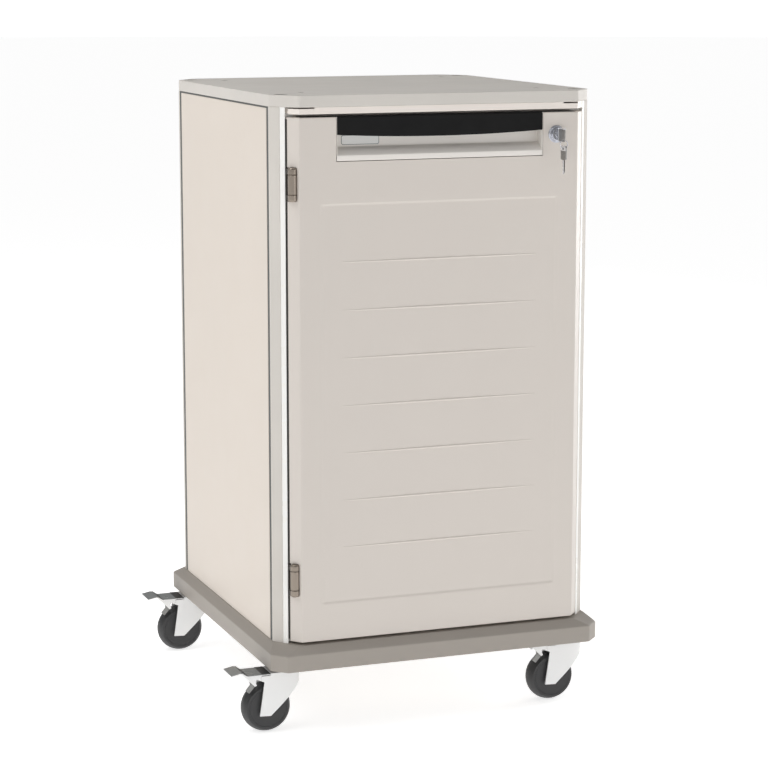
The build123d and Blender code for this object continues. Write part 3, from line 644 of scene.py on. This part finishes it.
# Rail over the door, with its lowered ends and the flange behind it.
RAIL = [(-251.6, 0.0), (251.6, 0.0), (268.0, 18.7), (268.0, 34.0), (-265.0, 34.0), (-265.0, 15.3)]
rail_loops = []
for z, inset in ((1059.4, 1.0), (1059.7, 0.4), (1060.4, 0.0), (WORKTOP_LOW, 0.0)):
    shrunk = [(x - math.copysign(inset * 0.6, x), max(y, inset) if y < 30 else y) for x, y in RAIL]
    rail_loops.append(place_z(rounded(shrunk, [1.5, 1.5, 0.6, 0, 0, 0.6], 4), z))
rail = raw_mesh("door_rail", loft(rail_loops))
reliefs = [block(x0, -3.0, 1068.4, x1, 40.0, 1075.0) for x0, x1 in ((-275.0, -225.0), (225.0, 252.2))]
combine(rail, joined(*reliefs))
combine(rail, block(-252.0, 33.9, 1040.0, 252.0, 37.0, WORKTOP_LOW), "UNION")
piece("door_rail", rail, "rail", "cabinet", ["top_rail"])

gasket_parts = []
for side in (-1, 1):
    x_in, x_out = side * PANEL_IN, side * GASKET_OUT
    for y0, y1 in ((48.7, GASKET_END), (DEPTH - GASKET_END, DEPTH - 48.7)):
        strip = rounded([(x_in, y0), (x_out, y0), (x_out, y1), (x_in, y1)], [0, 0.8, 0.8, 0], 3)
        gasket_parts.append(prism(place_z, strip, BASE_TOP, WORKTOP_LOW))
    low_x, high_x = sorted((x_in, x_out))
    gasket_parts.append(
        block(low_x, GASKET_END, PANEL_TOP + 0.1, high_x, DEPTH - GASKET_END, WORKTOP_LOW)
    )
piece("panel_gasket_strips", joined(*gasket_parts), "gasket", "cabinet", ["panel_gaskets"])

# The back sheet goes round both rear corners.
BACK = [
    (-276.1, 596.0), (-276.1, 605.5), (-252.0, 633.0), (252.0, 633.0), (276.1, 605.5), (276.1, 596.0),
    (270.3, 596.0), (270.3, 603.2), (249.3, 627.0), (-249.3, 627.0), (-270.3, 603.2), (-270.3, 596.0),
]
back_outline = rounded(BACK, [0, 1.0, 3.0, 3.0, 1.0, 0, 0, 0, 1.0, 1.0, 0, 0], 4)
piece(
    "back_sheet", prism(place_z, back_outline, BASE_TOP, WORKTOP_LOW - 0.3),
    "panel", "cabinet", ["panel_back"],
)

# ---- Bumper base ----------------


def bumper_loop(half, front, cut, z, radius):
    """Plan outline of the moulding at one height; front is how far it stands out before the door."""
    return place_z(cut_corners(half, -front, DEPTH + front, cut, cut, radius, 6), z)


# The moulding's section, from the inner lower edge out, up and in to the cabinet's foot.
bumper_levels = [
    (299.2, 7.6, 23.4, 143.9, 4.0), (299.2, 7.6, 23.4, 115.6, 4.0), (299.9, 8.3, 23.4, 114.8, 4.5),
    (304.0, 12.4, 23.4, 114.8, 6.0), (304.9, 13.3, 23.4, 115.2, 6.5), (305.2, 13.6, 23.4, 116.2, 7.0),
    (305.2, 13.6, 23.4, 142.6, 7.0), (304.9, 13.3, 23.6, 143.7, 7.0), (304.1, 12.6, 24.3, 145.0, 7.0),
    (303.0, 11.3, 25.3, 146.3, 7.0), (293.6, 0.9, 34.2, 155.6, 7.0), (292.4, -0.4, 35.2, 156.7, 7.0),
    (290.8, -2.0, 36.0, 157.3, 7.0), (288.0, -4.8, 36.0, 157.4, 6.0), (240.0, -50.0, 36.0, 157.4, 5.0),
]
bumper = loft([bumper_loop(*level) for level in bumper_levels])
piece("base_moulding", bumper, "base", "cabinet", ["base_bumper"], angle=35.0)

# ---- Inside ----------------
DECK_TOP = 173.4
INSIDE_FRONT = 70.2
RIB_PITCH = 96.0
SHELF_LOWS = (460.4, 748.4)
SHELF_FRONT = 74.2
SHELF_THICK = 16.0

deck = raw_mesh("floor_tray", block(-281.8, INSIDE_FRONT, BASE_TOP, 281.8, DEPTH - INSIDE_FRONT, DECK_TOP))
combine(deck, block(-257.8, 37.2, BASE_TOP, 257.8, DEPTH - 37.2, DECK_TOP), "UNION")
combine(deck, block(-251.8, 34.2, BASE_TOP, 251.8, 37.3, DECK_TOP), "UNION")
combine(deck, block(-240.0, 60.0, 171.4, 240.0, DEPTH - 60.0, 175.0))
piece("floor_tray", deck, "inside", "cabinet", ["bottom_deck"], bevel=0.8)

liner_parts = []
for side in (-1, 1):
    low_x, high_x = sorted((side * 282.0, side * 278.0))
    liner_parts.append(block(low_x, INSIDE_FRONT, 173.5, high_x, DEPTH - INSIDE_FRONT, 1050.0))
    for index in range(9):
        z = 263.4 + index * RIB_PITCH
        rib = [(278.2, z), (270.6, z), (270.6, z + 5.0), (278.2, z + 5.0)]
        rib = [(side * x, height) for x, height in rounded(rib, [0, 1.2, 1.2, 0], 3)]
        liner_parts.append(prism(place_y, rib, 74.0, DEPTH - 74.0))
piece("runner_liners", joined(*liner_parts), "inside", "cabinet", ["side_liners"])

shelf_parts = []
for z in SHELF_LOWS:
    front, rear, top = SHELF_FRONT, DEPTH - SHELF_FRONT, z + SHELF_THICK
    shape = rounded([(front, z), (rear, z), (rear, top), (front, top)], 3.0, 5)
    shelf_parts.append(prism(place_x, shape, -275.8, 275.8))
shelf_body = raw_mesh("loose_shelves", joined(*shelf_parts))
trays = [block(-262.0, 92.0, z + 13.5, 262.0, DEPTH - 92.0, z + 20.0) for z in SHELF_LOWS]
combine(shelf_body, joined(*trays))
piece("loose_shelves", shelf_body, "inside", "cabinet", ["shelves"])

# ---- Door ----------------
DOOR_HALF = 267.0
DOOR_ROUND = 2.0
FIELD_HALF = 218.0
FIELD_LOW = 225.0
FIELD_HIGH = 911.5
FIELD_DEPTH = 1.2
FIELD_BEVEL = 5.0
FIELD_SIDE_BEVEL = 9.0
# Each rib is a bar whose axis lies behind the door's plane and whose radius shrinks to its ends.
RIB_ZS = [323.0 + 81.5 * index for index in range(7)]
RIB_HALF = 177.0
RIB_RADIUS = 2.15
RIB_AXIS = 2.2
RIB_END = 1.3
RIB_ARC = (RIB_HALF**2 + (RIB_RADIUS - RIB_END) ** 2) / (2 * (RIB_RADIUS - RIB_END))


def smooth(t):
    """Eases from 0 to 1."""
    t = max(0.0, min(1.0, t))
    return t * t * (3 - 2 * t)


def door_relief(x, z):
    """How far the door's front lies behind its plane: the sunk field, less the tapering ribs."""
    middle = (FIELD_LOW + FIELD_HIGH) / 2
    half_height = (FIELD_HIGH - FIELD_LOW) / 2
    dx = max((abs(x) - FIELD_HALF) / FIELD_SIDE_BEVEL, -1.0) + 1.0
    dz = max((abs(z - middle) - half_height) / FIELD_BEVEL, -1.0) + 1.0
    depth = FIELD_DEPTH * smooth(1.0 - math.hypot(max(dx, 0.0), max(dz, 0.0)))
    for rib_z in RIB_ZS:
        if abs(z - rib_z) < RIB_RADIUS and abs(x) < RIB_HALF:
            radius = RIB_RADIUS - RIB_ARC + math.sqrt(RIB_ARC**2 - x * x)
            if radius > abs(z - rib_z):
                depth = min(depth, RIB_AXIS - math.sqrt(radius**2 - (z - rib_z) ** 2))
    return depth


def spread(breaks, step):
    """Values that hit every break and are no further apart than step."""
    out = [breaks[0]]
    for low, high in zip(breaks, breaks[1:]):
        count = max(1, math.ceil((high - low) / step))
        out += [low + (high - low) * i / count for i in range(1, count + 1)]
    return out


# Columns and rows of the front: close together over the field's bevels and the ribs.
near_field = [FIELD_HALF - FIELD_SIDE_BEVEL * t for t in (1.2, 1.0, 0.85, 0.7, 0.5, 0.3, 0.15, 0.0)]
right_xs = [0.0, 60.0, 120.0, 160.0, RIB_HALF - 0.1, RIB_HALF + 0.1] + near_field
front_xs = sorted({round(side * x, 4) for x in spread(right_xs, 9.0) for side in (-1, 1)})
door_zs = {DOOR_LOW + DOOR_ROUND, DOOR_TOP - DOOR_ROUND}
for base, sign in ((FIELD_LOW, 1), (FIELD_HIGH, -1)):
    door_zs |= {base + sign * FIELD_BEVEL * t for t in (0, 0.2, 0.4, 0.6, 0.8, 1.0, 1.6, 2.4)}
for rib_z in RIB_ZS:
    for offset in (0, 0.55, 1.1, 1.6, 2.0, 2.35, 2.6, 3.4):
        door_zs |= {rib_z - offset, rib_z + offset}
door_zs = spread(sorted(door_zs), 12.0)


def door_loop(z, inset, relief):
    """Plan outline of the door at one height, drawn in by inset all round but at the back."""
    half, slant = DOOR_HALF - inset, inset * 0.45
    points = [
        (-half, 30.0), (-half, 16.9 + slant), (-252.0 + slant, inset),
        (252.0 - slant, inset), (half, 16.9 + slant), (half, 30.0),
    ]
    outline = rounded(points, [0, 1.6, 3.0, 3.0, 1.6, 0], 5)
    left = outline[: len(outline) // 2]
    right = outline[len(outline) // 2 :]
    middle = [(x, inset + (door_relief(x, z) if relief else 0.0)) for x in front_xs]
    return place_z(left + middle + right, z)


door_edges = edge_profile(DOOR_LOW, DOOR_TOP, DOOR_ROUND)
edge_count = len(door_edges) // 2
door_loops = [door_loop(z, inset, False) for z, inset in door_edges[:edge_count]]
door_loops += [door_loop(z, 0.0, True) for z in door_zs[1:-1]]
door_loops += [door_loop(z, inset, False) for z, inset in door_edges[edge_count:]]
door = raw_mesh("door_shell", loft(door_loops))
combine(door, block(-187.5, -2.0, 980.0, 187.5, 27.2, 1060.0))
combine(door, block(-250.0, 26.9, 165.9, 250.0, 35.0, 1050.1))
for low in HINGE_LOWS:
    high = low + HINGE_TALL
    notch = [(0, low - 0.6), (5.6, low - 0.6), (7.4, low + 0.6), (8.2, low + 2.6)]
    notch += [(8.2, high - 2.6), (7.4, high - 0.6), (5.6, high + 0.6), (0, high + 0.6)]
    combine(door, turned(lathe(notch, 40), "z", (HINGE_X, HINGE_Y, 0)))
    combine(door, block(-269.0, HINGE_Y, low - 0.5, -265.7, 27.5, high + 0.5))
piece("door_shell", door, "door", "door", ["door_skin"], angle=24.0)

liner_shape = rounded([(-249.8, 166.1), (249.8, 166.1), (249.8, 1049.9), (-249.8, 1049.9)], 3.0, 4)
door_back = raw_mesh("door_inner_panel", prism(place_y, liner_shape, 27.0, 30.0))
inner_shape = rounded([(-226.0, 196.0), (226.0, 196.0), (226.0, 950.0), (-226.0, 950.0)], 18.0, 6)
combine(door_back, prism(place_y, inner_shape, 28.4, 31.0))
piece("door_inner_panel", door_back, "door", "door", ["door_liner"], bevel=0.6)

# The seal's lip runs round the door's back: (inset, y) pairs.
seal_profile = [(0.0, 30.0), (0.3, 32.0), (1.6, 32.9), (3.2, 32.0), (5.4, 32.4), (8.2, 31.6), (8.5, 30.0)]
seal_loops = []
for inset, y in seal_profile:
    half, low, high = 266.5 - inset, 162.4 + inset, 1053.6 - inset
    seal_loops.append(place_y([(-half, low), (half, low), (half, high), (-half, high)], y))
seal_lip = loft(seal_loops + seal_loops[:1], caps=False)
piece("door_seal_lip", seal_lip, "seal", "door", ["door_seal"])

# Dark strips on the hinge edge, between and beyond the hinges, and on the door's top: painted shade that
# makes the gaps round the door read dark.
strip_ends = [
    (DOOR_LOW + 3.0, HINGE_LOWS[0] - 1.0),
    (HINGE_LOWS[0] + HINGE_TALL + 1.0, HINGE_LOWS[1] - 1.0),
    (HINGE_LOWS[1] + HINGE_TALL + 1.0, DOOR_TOP - 3.0),
]
edge_parts = [block(-267.6, 18.0, low, -266.9, 30.0, high) for low, high in strip_ends]
piece("door_edge_strips", joined(*edge_parts), "edge", "door")
# The top strip is black as painted shade in the gap under the rail.
top_strip = block(-248.0, 3.0, DOOR_TOP - 0.2, 248.0, 29.0, DOOR_TOP + 0.5)
piece("door_top_strip", top_strip, "seal", "door")

# Pull: sill and back wall in one moulding, with the black grip across its top.
PULL_HALF = 186.5
GRIP_HALF = 186.0
GRIP_LOW = 1018.8
GRIP_BOW = 5.6  # how far the grip's lower edge rises from the middle to the ends
GRIP_TOP = 1054.0

sill = [(27.0, DOOR_TOP), (27.0, 981.2), (0.4, 981.2), (0.0, 981.8), (0.0, 989.2), (0.5, 990.4)]
for step in range(1, 9):
    t = step / 9
    bulge = math.sin(math.pi * t)
    sill.append((0.5 + 21.0 * t + 1.2 * bulge, 990.4 + 11.6 * t + 2.6 * bulge))
sill += [(22.4, 1003.2), (23.0, 1005.0), (23.0, DOOR_TOP)]
pull_parts = [prism(place_x, sill, -PULL_HALF, PULL_HALF)]
for side in (-1, 1):
    low_x, high_x = sorted((side * 185.6, side * PULL_HALF))
    pull_parts.append(block(low_x, 0.3, 981.4, high_x, 27.0, DOOR_TOP))
piece("pull_recess", joined(*pull_parts), "pocket", "door", ["handle_pocket"], angle=32.0)

grip_loops = []
for step in range(41):
    x = -GRIP_HALF + 2 * GRIP_HALF * step / 40
    low = GRIP_LOW + GRIP_BOW * (x / GRIP_HALF) ** 2
    shape = [
        (0.0, low), (0.0, GRIP_TOP), (22.8, GRIP_TOP), (22.8, 1050.3), (4.5, 1050.3), (4.5, low)
    ]
    grip_loops.append(place_x(rounded(shape, [1.4, 1.4, 0.6, 0.6, 3.0, 1.4], 4), x))
piece("pull_grip", loft(grip_loops), "grip", "door", ["handle_grip"])

label_shape = rounded([(-170.9, 1006.1), (-103.5, 1006.1), (-103.5, 1022.3), (-170.9, 1022.3)], 3.5, 5)
label_inner = rounded([(-169.9, 1007.1), (-104.5, 1007.1), (-104.5, 1021.3), (-169.9, 1021.3)], 2.7, 5)
rim = raw_mesh("label_rim", prism(place_y, label_shape, 22.25, 23.0))
combine(rim, prism(place_y, label_inner, 21.0, 22.6))
piece("label_rim", rim, "label_rim", "door", ["label_plate"])
piece("label_blank", prism(place_y, label_inner, 22.45, 22.7), "label", "door")

# ---- Hinges ----------------


KNUCKLE = 7.5
KNUCKLE_EDGE = 0.7
DOME = 3.2
DOME_ANGLES = (0.0, 0.4, 0.8, 1.2, 1.57)


def knuckle(low, high, round_low, round_high):
    """Rolled knuckle about the hinge's axis; a rounded end is domed."""
    profile = [(0, low)]
    if round_low:
        for a in DOME_ANGLES:
            profile.append((KNUCKLE - DOME * (1 - math.sin(a)), low + DOME * (1 - math.cos(a))))
    else:
        profile += [(KNUCKLE - KNUCKLE_EDGE, low), (KNUCKLE, low + KNUCKLE_EDGE)]
    if round_high:
        for a in DOME_ANGLES:
            profile.append((KNUCKLE - DOME * (1 - math.cos(a)), high - DOME * (1 - math.sin(a))))
    else:
        profile += [(KNUCKLE, high - KNUCKLE_EDGE), (KNUCKLE - KNUCKLE_EDGE, high)]
    profile.append((0, high))
    return turned(lathe(profile, 56), "z", (HINGE_X, HINGE_Y, 0))


def leaf(x0, x1, y0, y1, low, high):
    """Flat plate with rounded corners, standing across x."""
    shape = rounded([(y0, low), (y1, low), (y1, high), (y0, high)], 1.2, 3)
    return prism(place_x, shape, x0, x1)


frame_leaf_parts, door_leaf_parts, pin_parts, plate_parts = [], [], [], []
for low in HINGE_LOWS:
    high = low + HINGE_TALL
    inner_low, inner_high = low + HINGE_END, high - HINGE_END
    frame_leaf_parts.append(knuckle(low, inner_low, True, False))
    frame_leaf_parts.append(knuckle(inner_high, high, False, True))
    plate_parts += [
        leaf(-269.1, -267.9, 11.0, 33.4, low + 1.5, inner_low - 0.3),
        leaf(-269.1, -267.9, 11.0, 33.4, inner_high + 0.3, high - 1.5),
        leaf(-269.2, -267.9, 17.0, 33.4, low, high),
    ]
    door_leaf_parts += [
        knuckle(inner_low + 0.4, inner_high - 0.4, False, False),
        leaf(-267.2, -265.7, 8.0, 28.0, inner_low + 0.4, inner_high - 0.4),
        leaf(-267.15, -265.8, 17.0, 28.0, low, high),
    ]
    pin_parts.append(rod(2.5, low + 2, high - 2, "z", (HINGE_X, HINGE_Y, 0), 24))
piece(
    "hinge_frame_halves", joined(*frame_leaf_parts), "hinge", "cabinet",
    ["hinge_frame_leaves"],
)
piece(
    "hinge_door_halves", joined(*door_leaf_parts), "hinge", "door",
    ["hinge_door_leaves"],
)
# The frame plates take the darkened hinge metal: painted shade for the gap they sit in.
piece("hinge_frame_plates", joined(*plate_parts), "hinge_painted_shade", "cabinet")
piece("hinge_pivot_pins", joined(*pin_parts), "hinge", "cabinet", ["hinge_pins"])

# ---- Lock and keys ----------------
# Shapes here are given from the lock's axis at the door's face.
lock_origin = (LOCK_X, 0.0, LOCK_Z)


def hexagon(radius, y0, y1):
    """Data of a hexagonal nut on the lock's axis."""
    return prism(place_y, circle(radius, steps=6), y0, y1)


CAM_FRONT, CAM_BACK = 38.6, 41.6
rosette = [(0, 0.0), (15.0, 0.0), (15.0, -1.5), (14.2, -2.3), (12.4, -2.5), (12.0, -3.2), (11.0, -3.4)]
barrel = rosette + [(11.0, -7.2), (10.2, -7.9), (7.0, -8.0), (6.1, -8.0), (6.1, -3.0), (0, -3.0)]
housing_back = [(0, 0.0), (9.5, 0.0), (9.5, 36.0), (6.1, 36.0), (6.1, 20.0), (0, 20.0)]
lock_parts = [turned(lathe(barrel, 64), "y"), turned(lathe(housing_back, 40), "y")]
lock_parts.append(hexagon(13.0, 30.0, 34.0))
piece(
    "lock_body", joined(*lock_parts), "chrome", "door", ["lock_housing"],
    origin=lock_origin,
)
core_profile = [(0, -8.5), (5.2, -8.5), (5.9, -7.8), (5.9, CAM_FRONT), (0, CAM_FRONT)]
plug = raw_mesh("lock_core", turned(lathe(core_profile), "y"), lock_origin)
combine(plug, block(-1.15, -10.0, -3.6, 1.15, 12.0, 3.6))
piece("lock_core", plug, "chrome", "lock", ["lock_plug"])
cam_shape = arc((0.0, 0.0), 8.0, 0.0, math.pi, 10)
cam_shape += arc((0.0, -38.9), 6.5, math.pi, 2 * math.pi, 10)
cam = joined(prism(place_y, cam_shape, CAM_FRONT, CAM_BACK), hexagon(5.0, CAM_BACK, 44.5))
piece("lock_cam_plate", cam, "zinc", "lock", ["lock_cam"], bevel=0.4, origin=lock_origin)

# Holes in the keys' bows for the ring, as (y, z).
KEY_HOLE = (-31.0, -8.5)
SPARE_HOLE = (-31.0, -22.5)


def key_plate(name, outline, body, node, hole, grid):
    """Flat key across x, with a hole for the ring and a grid of square dents on both faces."""
    made = raw_mesh(name, prism(place_x, outline, -1.0, 1.0), lock_origin)
    combine(made, prism(place_x, circle(2.75, *hole, 32), -3.0, 3.0))
    for low_x in (-1.2, 0.65):
        for row in range(4):
            for column in range(3):
                y, z = grid[0] + column * 4.6, grid[1] + row * 3.6
                combine(made, block(low_x, y, z, low_x + 0.55, y + 3.4, z + 2.5))
    soften(made, 0.2, 40.0, 1)
    piece(name, made, "key", body, [node])


bow = rounded([(-9.5, -11.5), (-35.5, -11.5), (-35.5, 11.5), (-9.5, 11.5)], [2.0, 3.0, 3.0, 2.0], 4)
key_outline = bow + [(-9.5, 3.3), (10.2, 3.3), (11.0, 2.5), (11.0, -2.2), (9.0, -3.3), (-9.5, -3.3)]
key_plate("key_in_lock", key_outline, "lock", "key", KEY_HOLE, (-27.0, -4.0))
spare_bow = rounded([(-41.0, -42.0), (-41.0, -18.0), (-21.0, -18.0), (-21.0, -42.0)], 3.0, 4)
spare_blade = [
    (-28.0, -42.0), (-28.0, -48.0), (-29.6, -49.4), (-28.0, -50.8), (-28.0, -52.6), (-30.0, -54.2),
    (-28.0, -55.8), (-28.0, -57.4), (-29.4, -58.8), (-28.0, -60.2), (-28.0, -62.4), (-30.4, -66.2),
    (-31.6, -66.2), (-34.0, -63.0), (-34.0, -42.0),
]
spare_outline = spare_bow + spare_blade
key_plate("spare_key_on_ring", spare_outline, "spare_key", "spare_key", SPARE_HOLE, (-37.8, -40.5))
# Lighter parts of the keys: the rim of the first one's bow, a painted highlight along its edges, and the
# second one's polished cap and blade.
rim_shape = rounded([(-12.0, -11.6), (-9.4, -11.6), (-9.4, 11.6), (-12.0, 11.6)], 1.0, 3)
rim_parts = [prism(place_x, rim_shape, -1.7, 1.7), block(-1.4, -35.6, 9.6, 1.4, -11.5, 11.7)]
piece("key_bow_rim", joined(*rim_parts), "key_bright", "lock", bevel=0.3, origin=lock_origin)
cap_corners = [(-40.94, -26.4), (-40.94, -18.06), (-21.06, -18.06), (-21.06, -26.4)]
cap_shape = rounded(cap_corners, [0.6, 3.0, 3.0, 0.6], 4)
cap = raw_mesh("spare_key_cap", prism(place_x, cap_shape, -1.35, 1.35), lock_origin)
combine(cap, prism(place_x, circle(2.9, *SPARE_HOLE, 32), -3.0, 3.0))
piece("spare_key_cap", cap, "key_bright", "spare_key")
blade_shape = [(y, z) for y, z in spare_blade if z < -42.5]
blade_shape = [(-28.0, -42.5)] + blade_shape + [(-34.0, -42.5)]
piece(
    "spare_key_blade", prism(place_x, blade_shape, -1.08, 1.08),
    "key_bright", "spare_key", origin=lock_origin,
)
RING_RADIUS = 7.0
RING_WIRE = 0.6
RING_Y, RING_Z = -31.0, -15.5
wire = circle(RING_WIRE, RING_RADIUS, RING_Y, 12)
ring = loft(
    [
        [(reach * math.sin(a), y, RING_Z + reach * math.cos(a)) for reach, y in wire]
        for a in [2 * math.pi * step / 48 for step in range(49)]
    ],
    caps=False,
)
piece("key_split_ring", ring, "chrome", "key_ring", ["key_ring"], origin=lock_origin)

# ---- Castors ----------------
FORK_HALF = 23.3
FORK_NOSE = 60.9
FORK_TOP = 63.5
FORK_INSIDE = 59.5
BRAKE_PIN = (-2.0, 55.0)
# Side outline of the fork as (x, z), up the front and back along the top.
FORK_PROFILE = [
    (-13.0, 50.6), (-7.8, 48.5), (-16.6, -11.2), (3.0, -12.2), (FORK_NOSE, 41.5), (FORK_NOSE, FORK_TOP),
    (3.3, FORK_TOP), (3.3, FORK_INSIDE), (-12.9, FORK_INSIDE),
]


def fork_plan(inset):
    """Plan outline of the fork, square behind and with an elliptic nose."""
    half, nose, middle = FORK_HALF - inset, FORK_NOSE - inset, 18.9
    curve = [
        (middle + (nose - middle) * math.cos(a), half * math.sin(a))
        for a in [-math.pi / 2 + math.pi * i / 40 for i in range(41)]
    ]
    return [(-45.0, -half)] + curve + [(-45.0, half)]


def spun_across(profile, steps, x=0.0, z=0.0):
    """Skin of revolution about an axis across the castor: profile is a closed one of (radius, y)."""
    loops = [
        [(x + r * math.cos(a), y, z + r * math.sin(a)) for r, y in profile]
        for a in [2 * math.pi * i / steps for i in range(steps + 1)]
    ]
    return loft(loops, caps=False)


def across(outline, half=FORK_HALF):
    """Data of a side outline drawn out over the castor's width."""
    return prism(place_y, outline, -half, half)


def build_castor_shapes():
    """Meshes of one castor in millimetres from its axle: x ahead, y across, z up."""
    shapes = {}
    fork = raw_mesh("fork_shape", prism(place_z, fork_plan(0.0), -30.0, FORK_TOP))
    round_pin = arc(BRAKE_PIN, 12.0, math.radians(158), math.radians(201), 8)
    combine(fork, across(FORK_PROFILE + round_pin[1:-1], 40.0), "INTERSECT")
    combine(fork, prism(place_z, fork_plan(3.0), -40.0, FORK_INSIDE))
    combine(fork, rod(6.2, 50.0, 70.0, "z", (TRAIL, 0, 0), 40))
    soften(fork, 0.7, 35.0, 2)
    shapes["fork"] = (fork, "fork")

    axle = rod(4.0, -21.8, 21.8, "y", steps=32)
    brake_pin = rod(3.0, -21.8, 21.8, "y", (BRAKE_PIN[0], 0.0, BRAKE_PIN[1]), 32)
    shapes["pins"] = (raw_mesh("pins_shape", joined(axle, brake_pin)), "zinc")

    tyre_half, crown_drop = 16.0, 6.0
    ys = [-tyre_half + 2 * tyre_half * step / 12 for step in range(13)]
    crown = [(WHEEL_Z - crown_drop * (y / tyre_half) ** 2, y) for y in ys]
    tyre_profile = [(32.8, -15.2), (33.5, -16.0), (36.6, -16.0)] + crown
    tyre_profile += [(36.6, 16.0), (33.5, 16.0), (32.8, 15.2)]
    shapes["tyre"] = (raw_mesh("tyre_shape", spun_across(tyre_profile, 96)), "tyre")

    half_core = [
        (4.1, -18.0), (9.2, -18.0), (10.0, -17.2), (10.4, -15.6), (13.0, -15.3), (28.5, -15.4),
        (32.9, -15.8),
    ]
    wheel_core = spun_across(half_core + [(r, -y) for r, y in half_core[::-1]], 72)
    shapes["core"] = (raw_mesh("core_shape", wheel_core), "core")

    cheek = [
        (-50.0, 68.0), (-49.5, 66.6), (-32.5, 49.6), (-25.5, 42.4), (-21.9, 44.3), (-23.8, 49.3),
        (-22.7, 54.5), (-13.6, 50.9),
    ]
    cheek += arc(BRAKE_PIN, 12.5, math.radians(199), math.radians(154), 7)[1:-1]
    cheek += [(-13.2, 60.6), (-13.2, 61.2), (-38.5, 61.2), (-41.2, 62.6), (-47.0, 66.8)]
    lever_parts = [prism(place_y, cheek, -FORK_HALF, -20.3), prism(place_y, cheek, 20.3, FORK_HALF)]
    under = [(2.5, 60.9), (-38.0, 60.9), (-41.6, 62.0), (-47.5, 66.4), (-51.3, 67.0), (-67.2, 63.9)]
    over = [(-67.6, 65.4), (-51.5, 68.6), (-46.7, 67.8), (-40.4, 63.2), (-37.4, 62.3), (2.5, 62.3)]
    lever_parts.append(across(under + over))
    # The hub and web inside the fork are near-black as painted shade for the fork's hollow.
    hub_half = 19.8
    hub_web = across([(-12, 61.2), (-6.8, 55.0), (2.0, 58.0), (2.0, 61.2)], hub_half)
    hub_profile = [(3.05, -hub_half), (5.0, -hub_half), (5.0, hub_half), (3.05, hub_half)]
    hub = joined(hub_web, spun_across(hub_profile, 32, *BRAKE_PIN))
    shapes["hub"] = (raw_mesh("hub_shape", hub), "fork_hollow_shade")
    lever = raw_mesh("lever_shape", joined(*lever_parts))
    soften(lever, 0.35, 40.0, 1)
    shapes["lever"] = (lever, "fork")

    tread_outline = [
        (-67.7, 65.2), (-67.7, 66.2), (-51.5, 69.4), (-46.5, 68.6), (-40.2, 63.9), (-37.2, 63.0),
        (2.5, 63.0), (2.5, 62.2), (-37.4, 62.2), (-40.4, 63.1), (-46.7, 67.7), (-51.5, 68.5),
        (-67.5, 65.2),
    ]
    tread = raw_mesh("tread_shape", across(tread_outline))
    soften(tread, 0.25, 40.0, 1)
    shapes["tread"] = (tread, "tread")

    # Dark marks on the tread are painted shade: on the slope that faces away from the light, and where the
    # tread runs in under the bumper.
    slope = [(-46.4, 68.4), (-40.3, 63.7), (-38.3, 63.0), (-38.3, 63.5), (-40.1, 64.25), (-46.2, 68.95)]
    bumper_shadow_patch = [(-12.5, 62.8), (2.6, 62.8), (2.6, 63.4), (-12.0, 63.4)]
    painted_shade_marks = joined(across(slope, FORK_HALF + 0.1), across(bumper_shadow_patch, FORK_HALF + 0.1))
    shapes["painted_shade_marks"] = (raw_mesh("painted_shade_marks_shape", painted_shade_marks), "foot")

    ear = [(-41.5, 37.7), (-35.9, 31.3), (-26.3, 42.3), (-32.2, 48.4)]
    arm = [(-38.2, 33.3), (-35.9, 31.3), (-26.3, 42.3), (-29.0, 55.0), (-35.0, 55.0), (-33.0, 46.0)]
    pad = [(-38.2, 33.3), (-35.9, 31.3), (-26.3, 42.3), (-28.6, 44.3)]
    shoe_data = joined(
        prism(place_y, ear, -20.35, -FORK_HALF),
        prism(place_y, arm, -17.3, -20.3),
        prism(place_y, pad, -8.0, -17.25),
    )
    shoe = raw_mesh("shoe_shape", shoe_data)
    soften(shoe, 0.4, 40.0, 2)
    shapes["shoe"] = (shoe, "shoe")
    return shapes


castor_shapes = build_castor_shapes()
# Each shape's CAD body and replaced node, both without the castor's name, and its slot.
castor_rows = (
    ("fork", "swivel", "fork", "fork_plastic"),
    ("pins", "swivel", "pins", "zinc_steel"),
    ("tyre", "wheel", "tyre", "tyre_rubber"),
    ("core", "wheel", "wheel_core", "wheel_grey"),
    ("lever", "brake", "pedal", "fork_plastic"),
    ("tread", "brake", None, None),
    ("hub", "brake", None, None),
    ("painted_shade_marks", "brake", None, None),
    ("shoe", "brake", "brake_shoe", "shoe_rubber"),
)
for shape, look in castor_shapes.values():
    shade(shape, 30.0)
    shape.data.materials.clear()
    shape.data.materials.append(M[look])
for place_name, (stem_x, stem_y) in CASTORS.items():
    for shape_name, body_end, node_end, slot_name in castor_rows:
        mesh = castor_shapes[shape_name][0].data
        copy = bpy.data.objects.new(f"castor_{place_name}_{shape_name}_look", mesh)
        scene.collection.objects.link(copy)
        copy.location = at(stem_x - TRAIL, stem_y, WHEEL_Z)
        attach(copy, f"castor_{place_name}_{body_end}")
        if node_end:
            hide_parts(f"castor_{place_name}_{node_end}")
for shape, look in castor_shapes.values():
    bpy.data.objects.remove(shape)

# Kingpin nut, the two bearing races and the stem.
HEAD_PROFILE = [
    (0, 97.7), (8.6, 97.7), (10.0, 99.0), (10.0, 102.7), (6.0, 102.7), (6.0, 107.3), (19.6, 107.3),
    (21.0, 108.6), (21.0, 112.0), (20.2, 112.8), (21.0, 113.6), (21.0, 118.0), (6.0, 118.0),
    (6.0, 144.0), (0, 144.0),
]
head_parts = [turned(lathe(HEAD_PROFILE), "z", (x, y, 0)) for x, y in CASTORS.values()]
piece("castor_bearing_heads", joined(*head_parts), "zinc", "cabinet", ["castor_heads"])
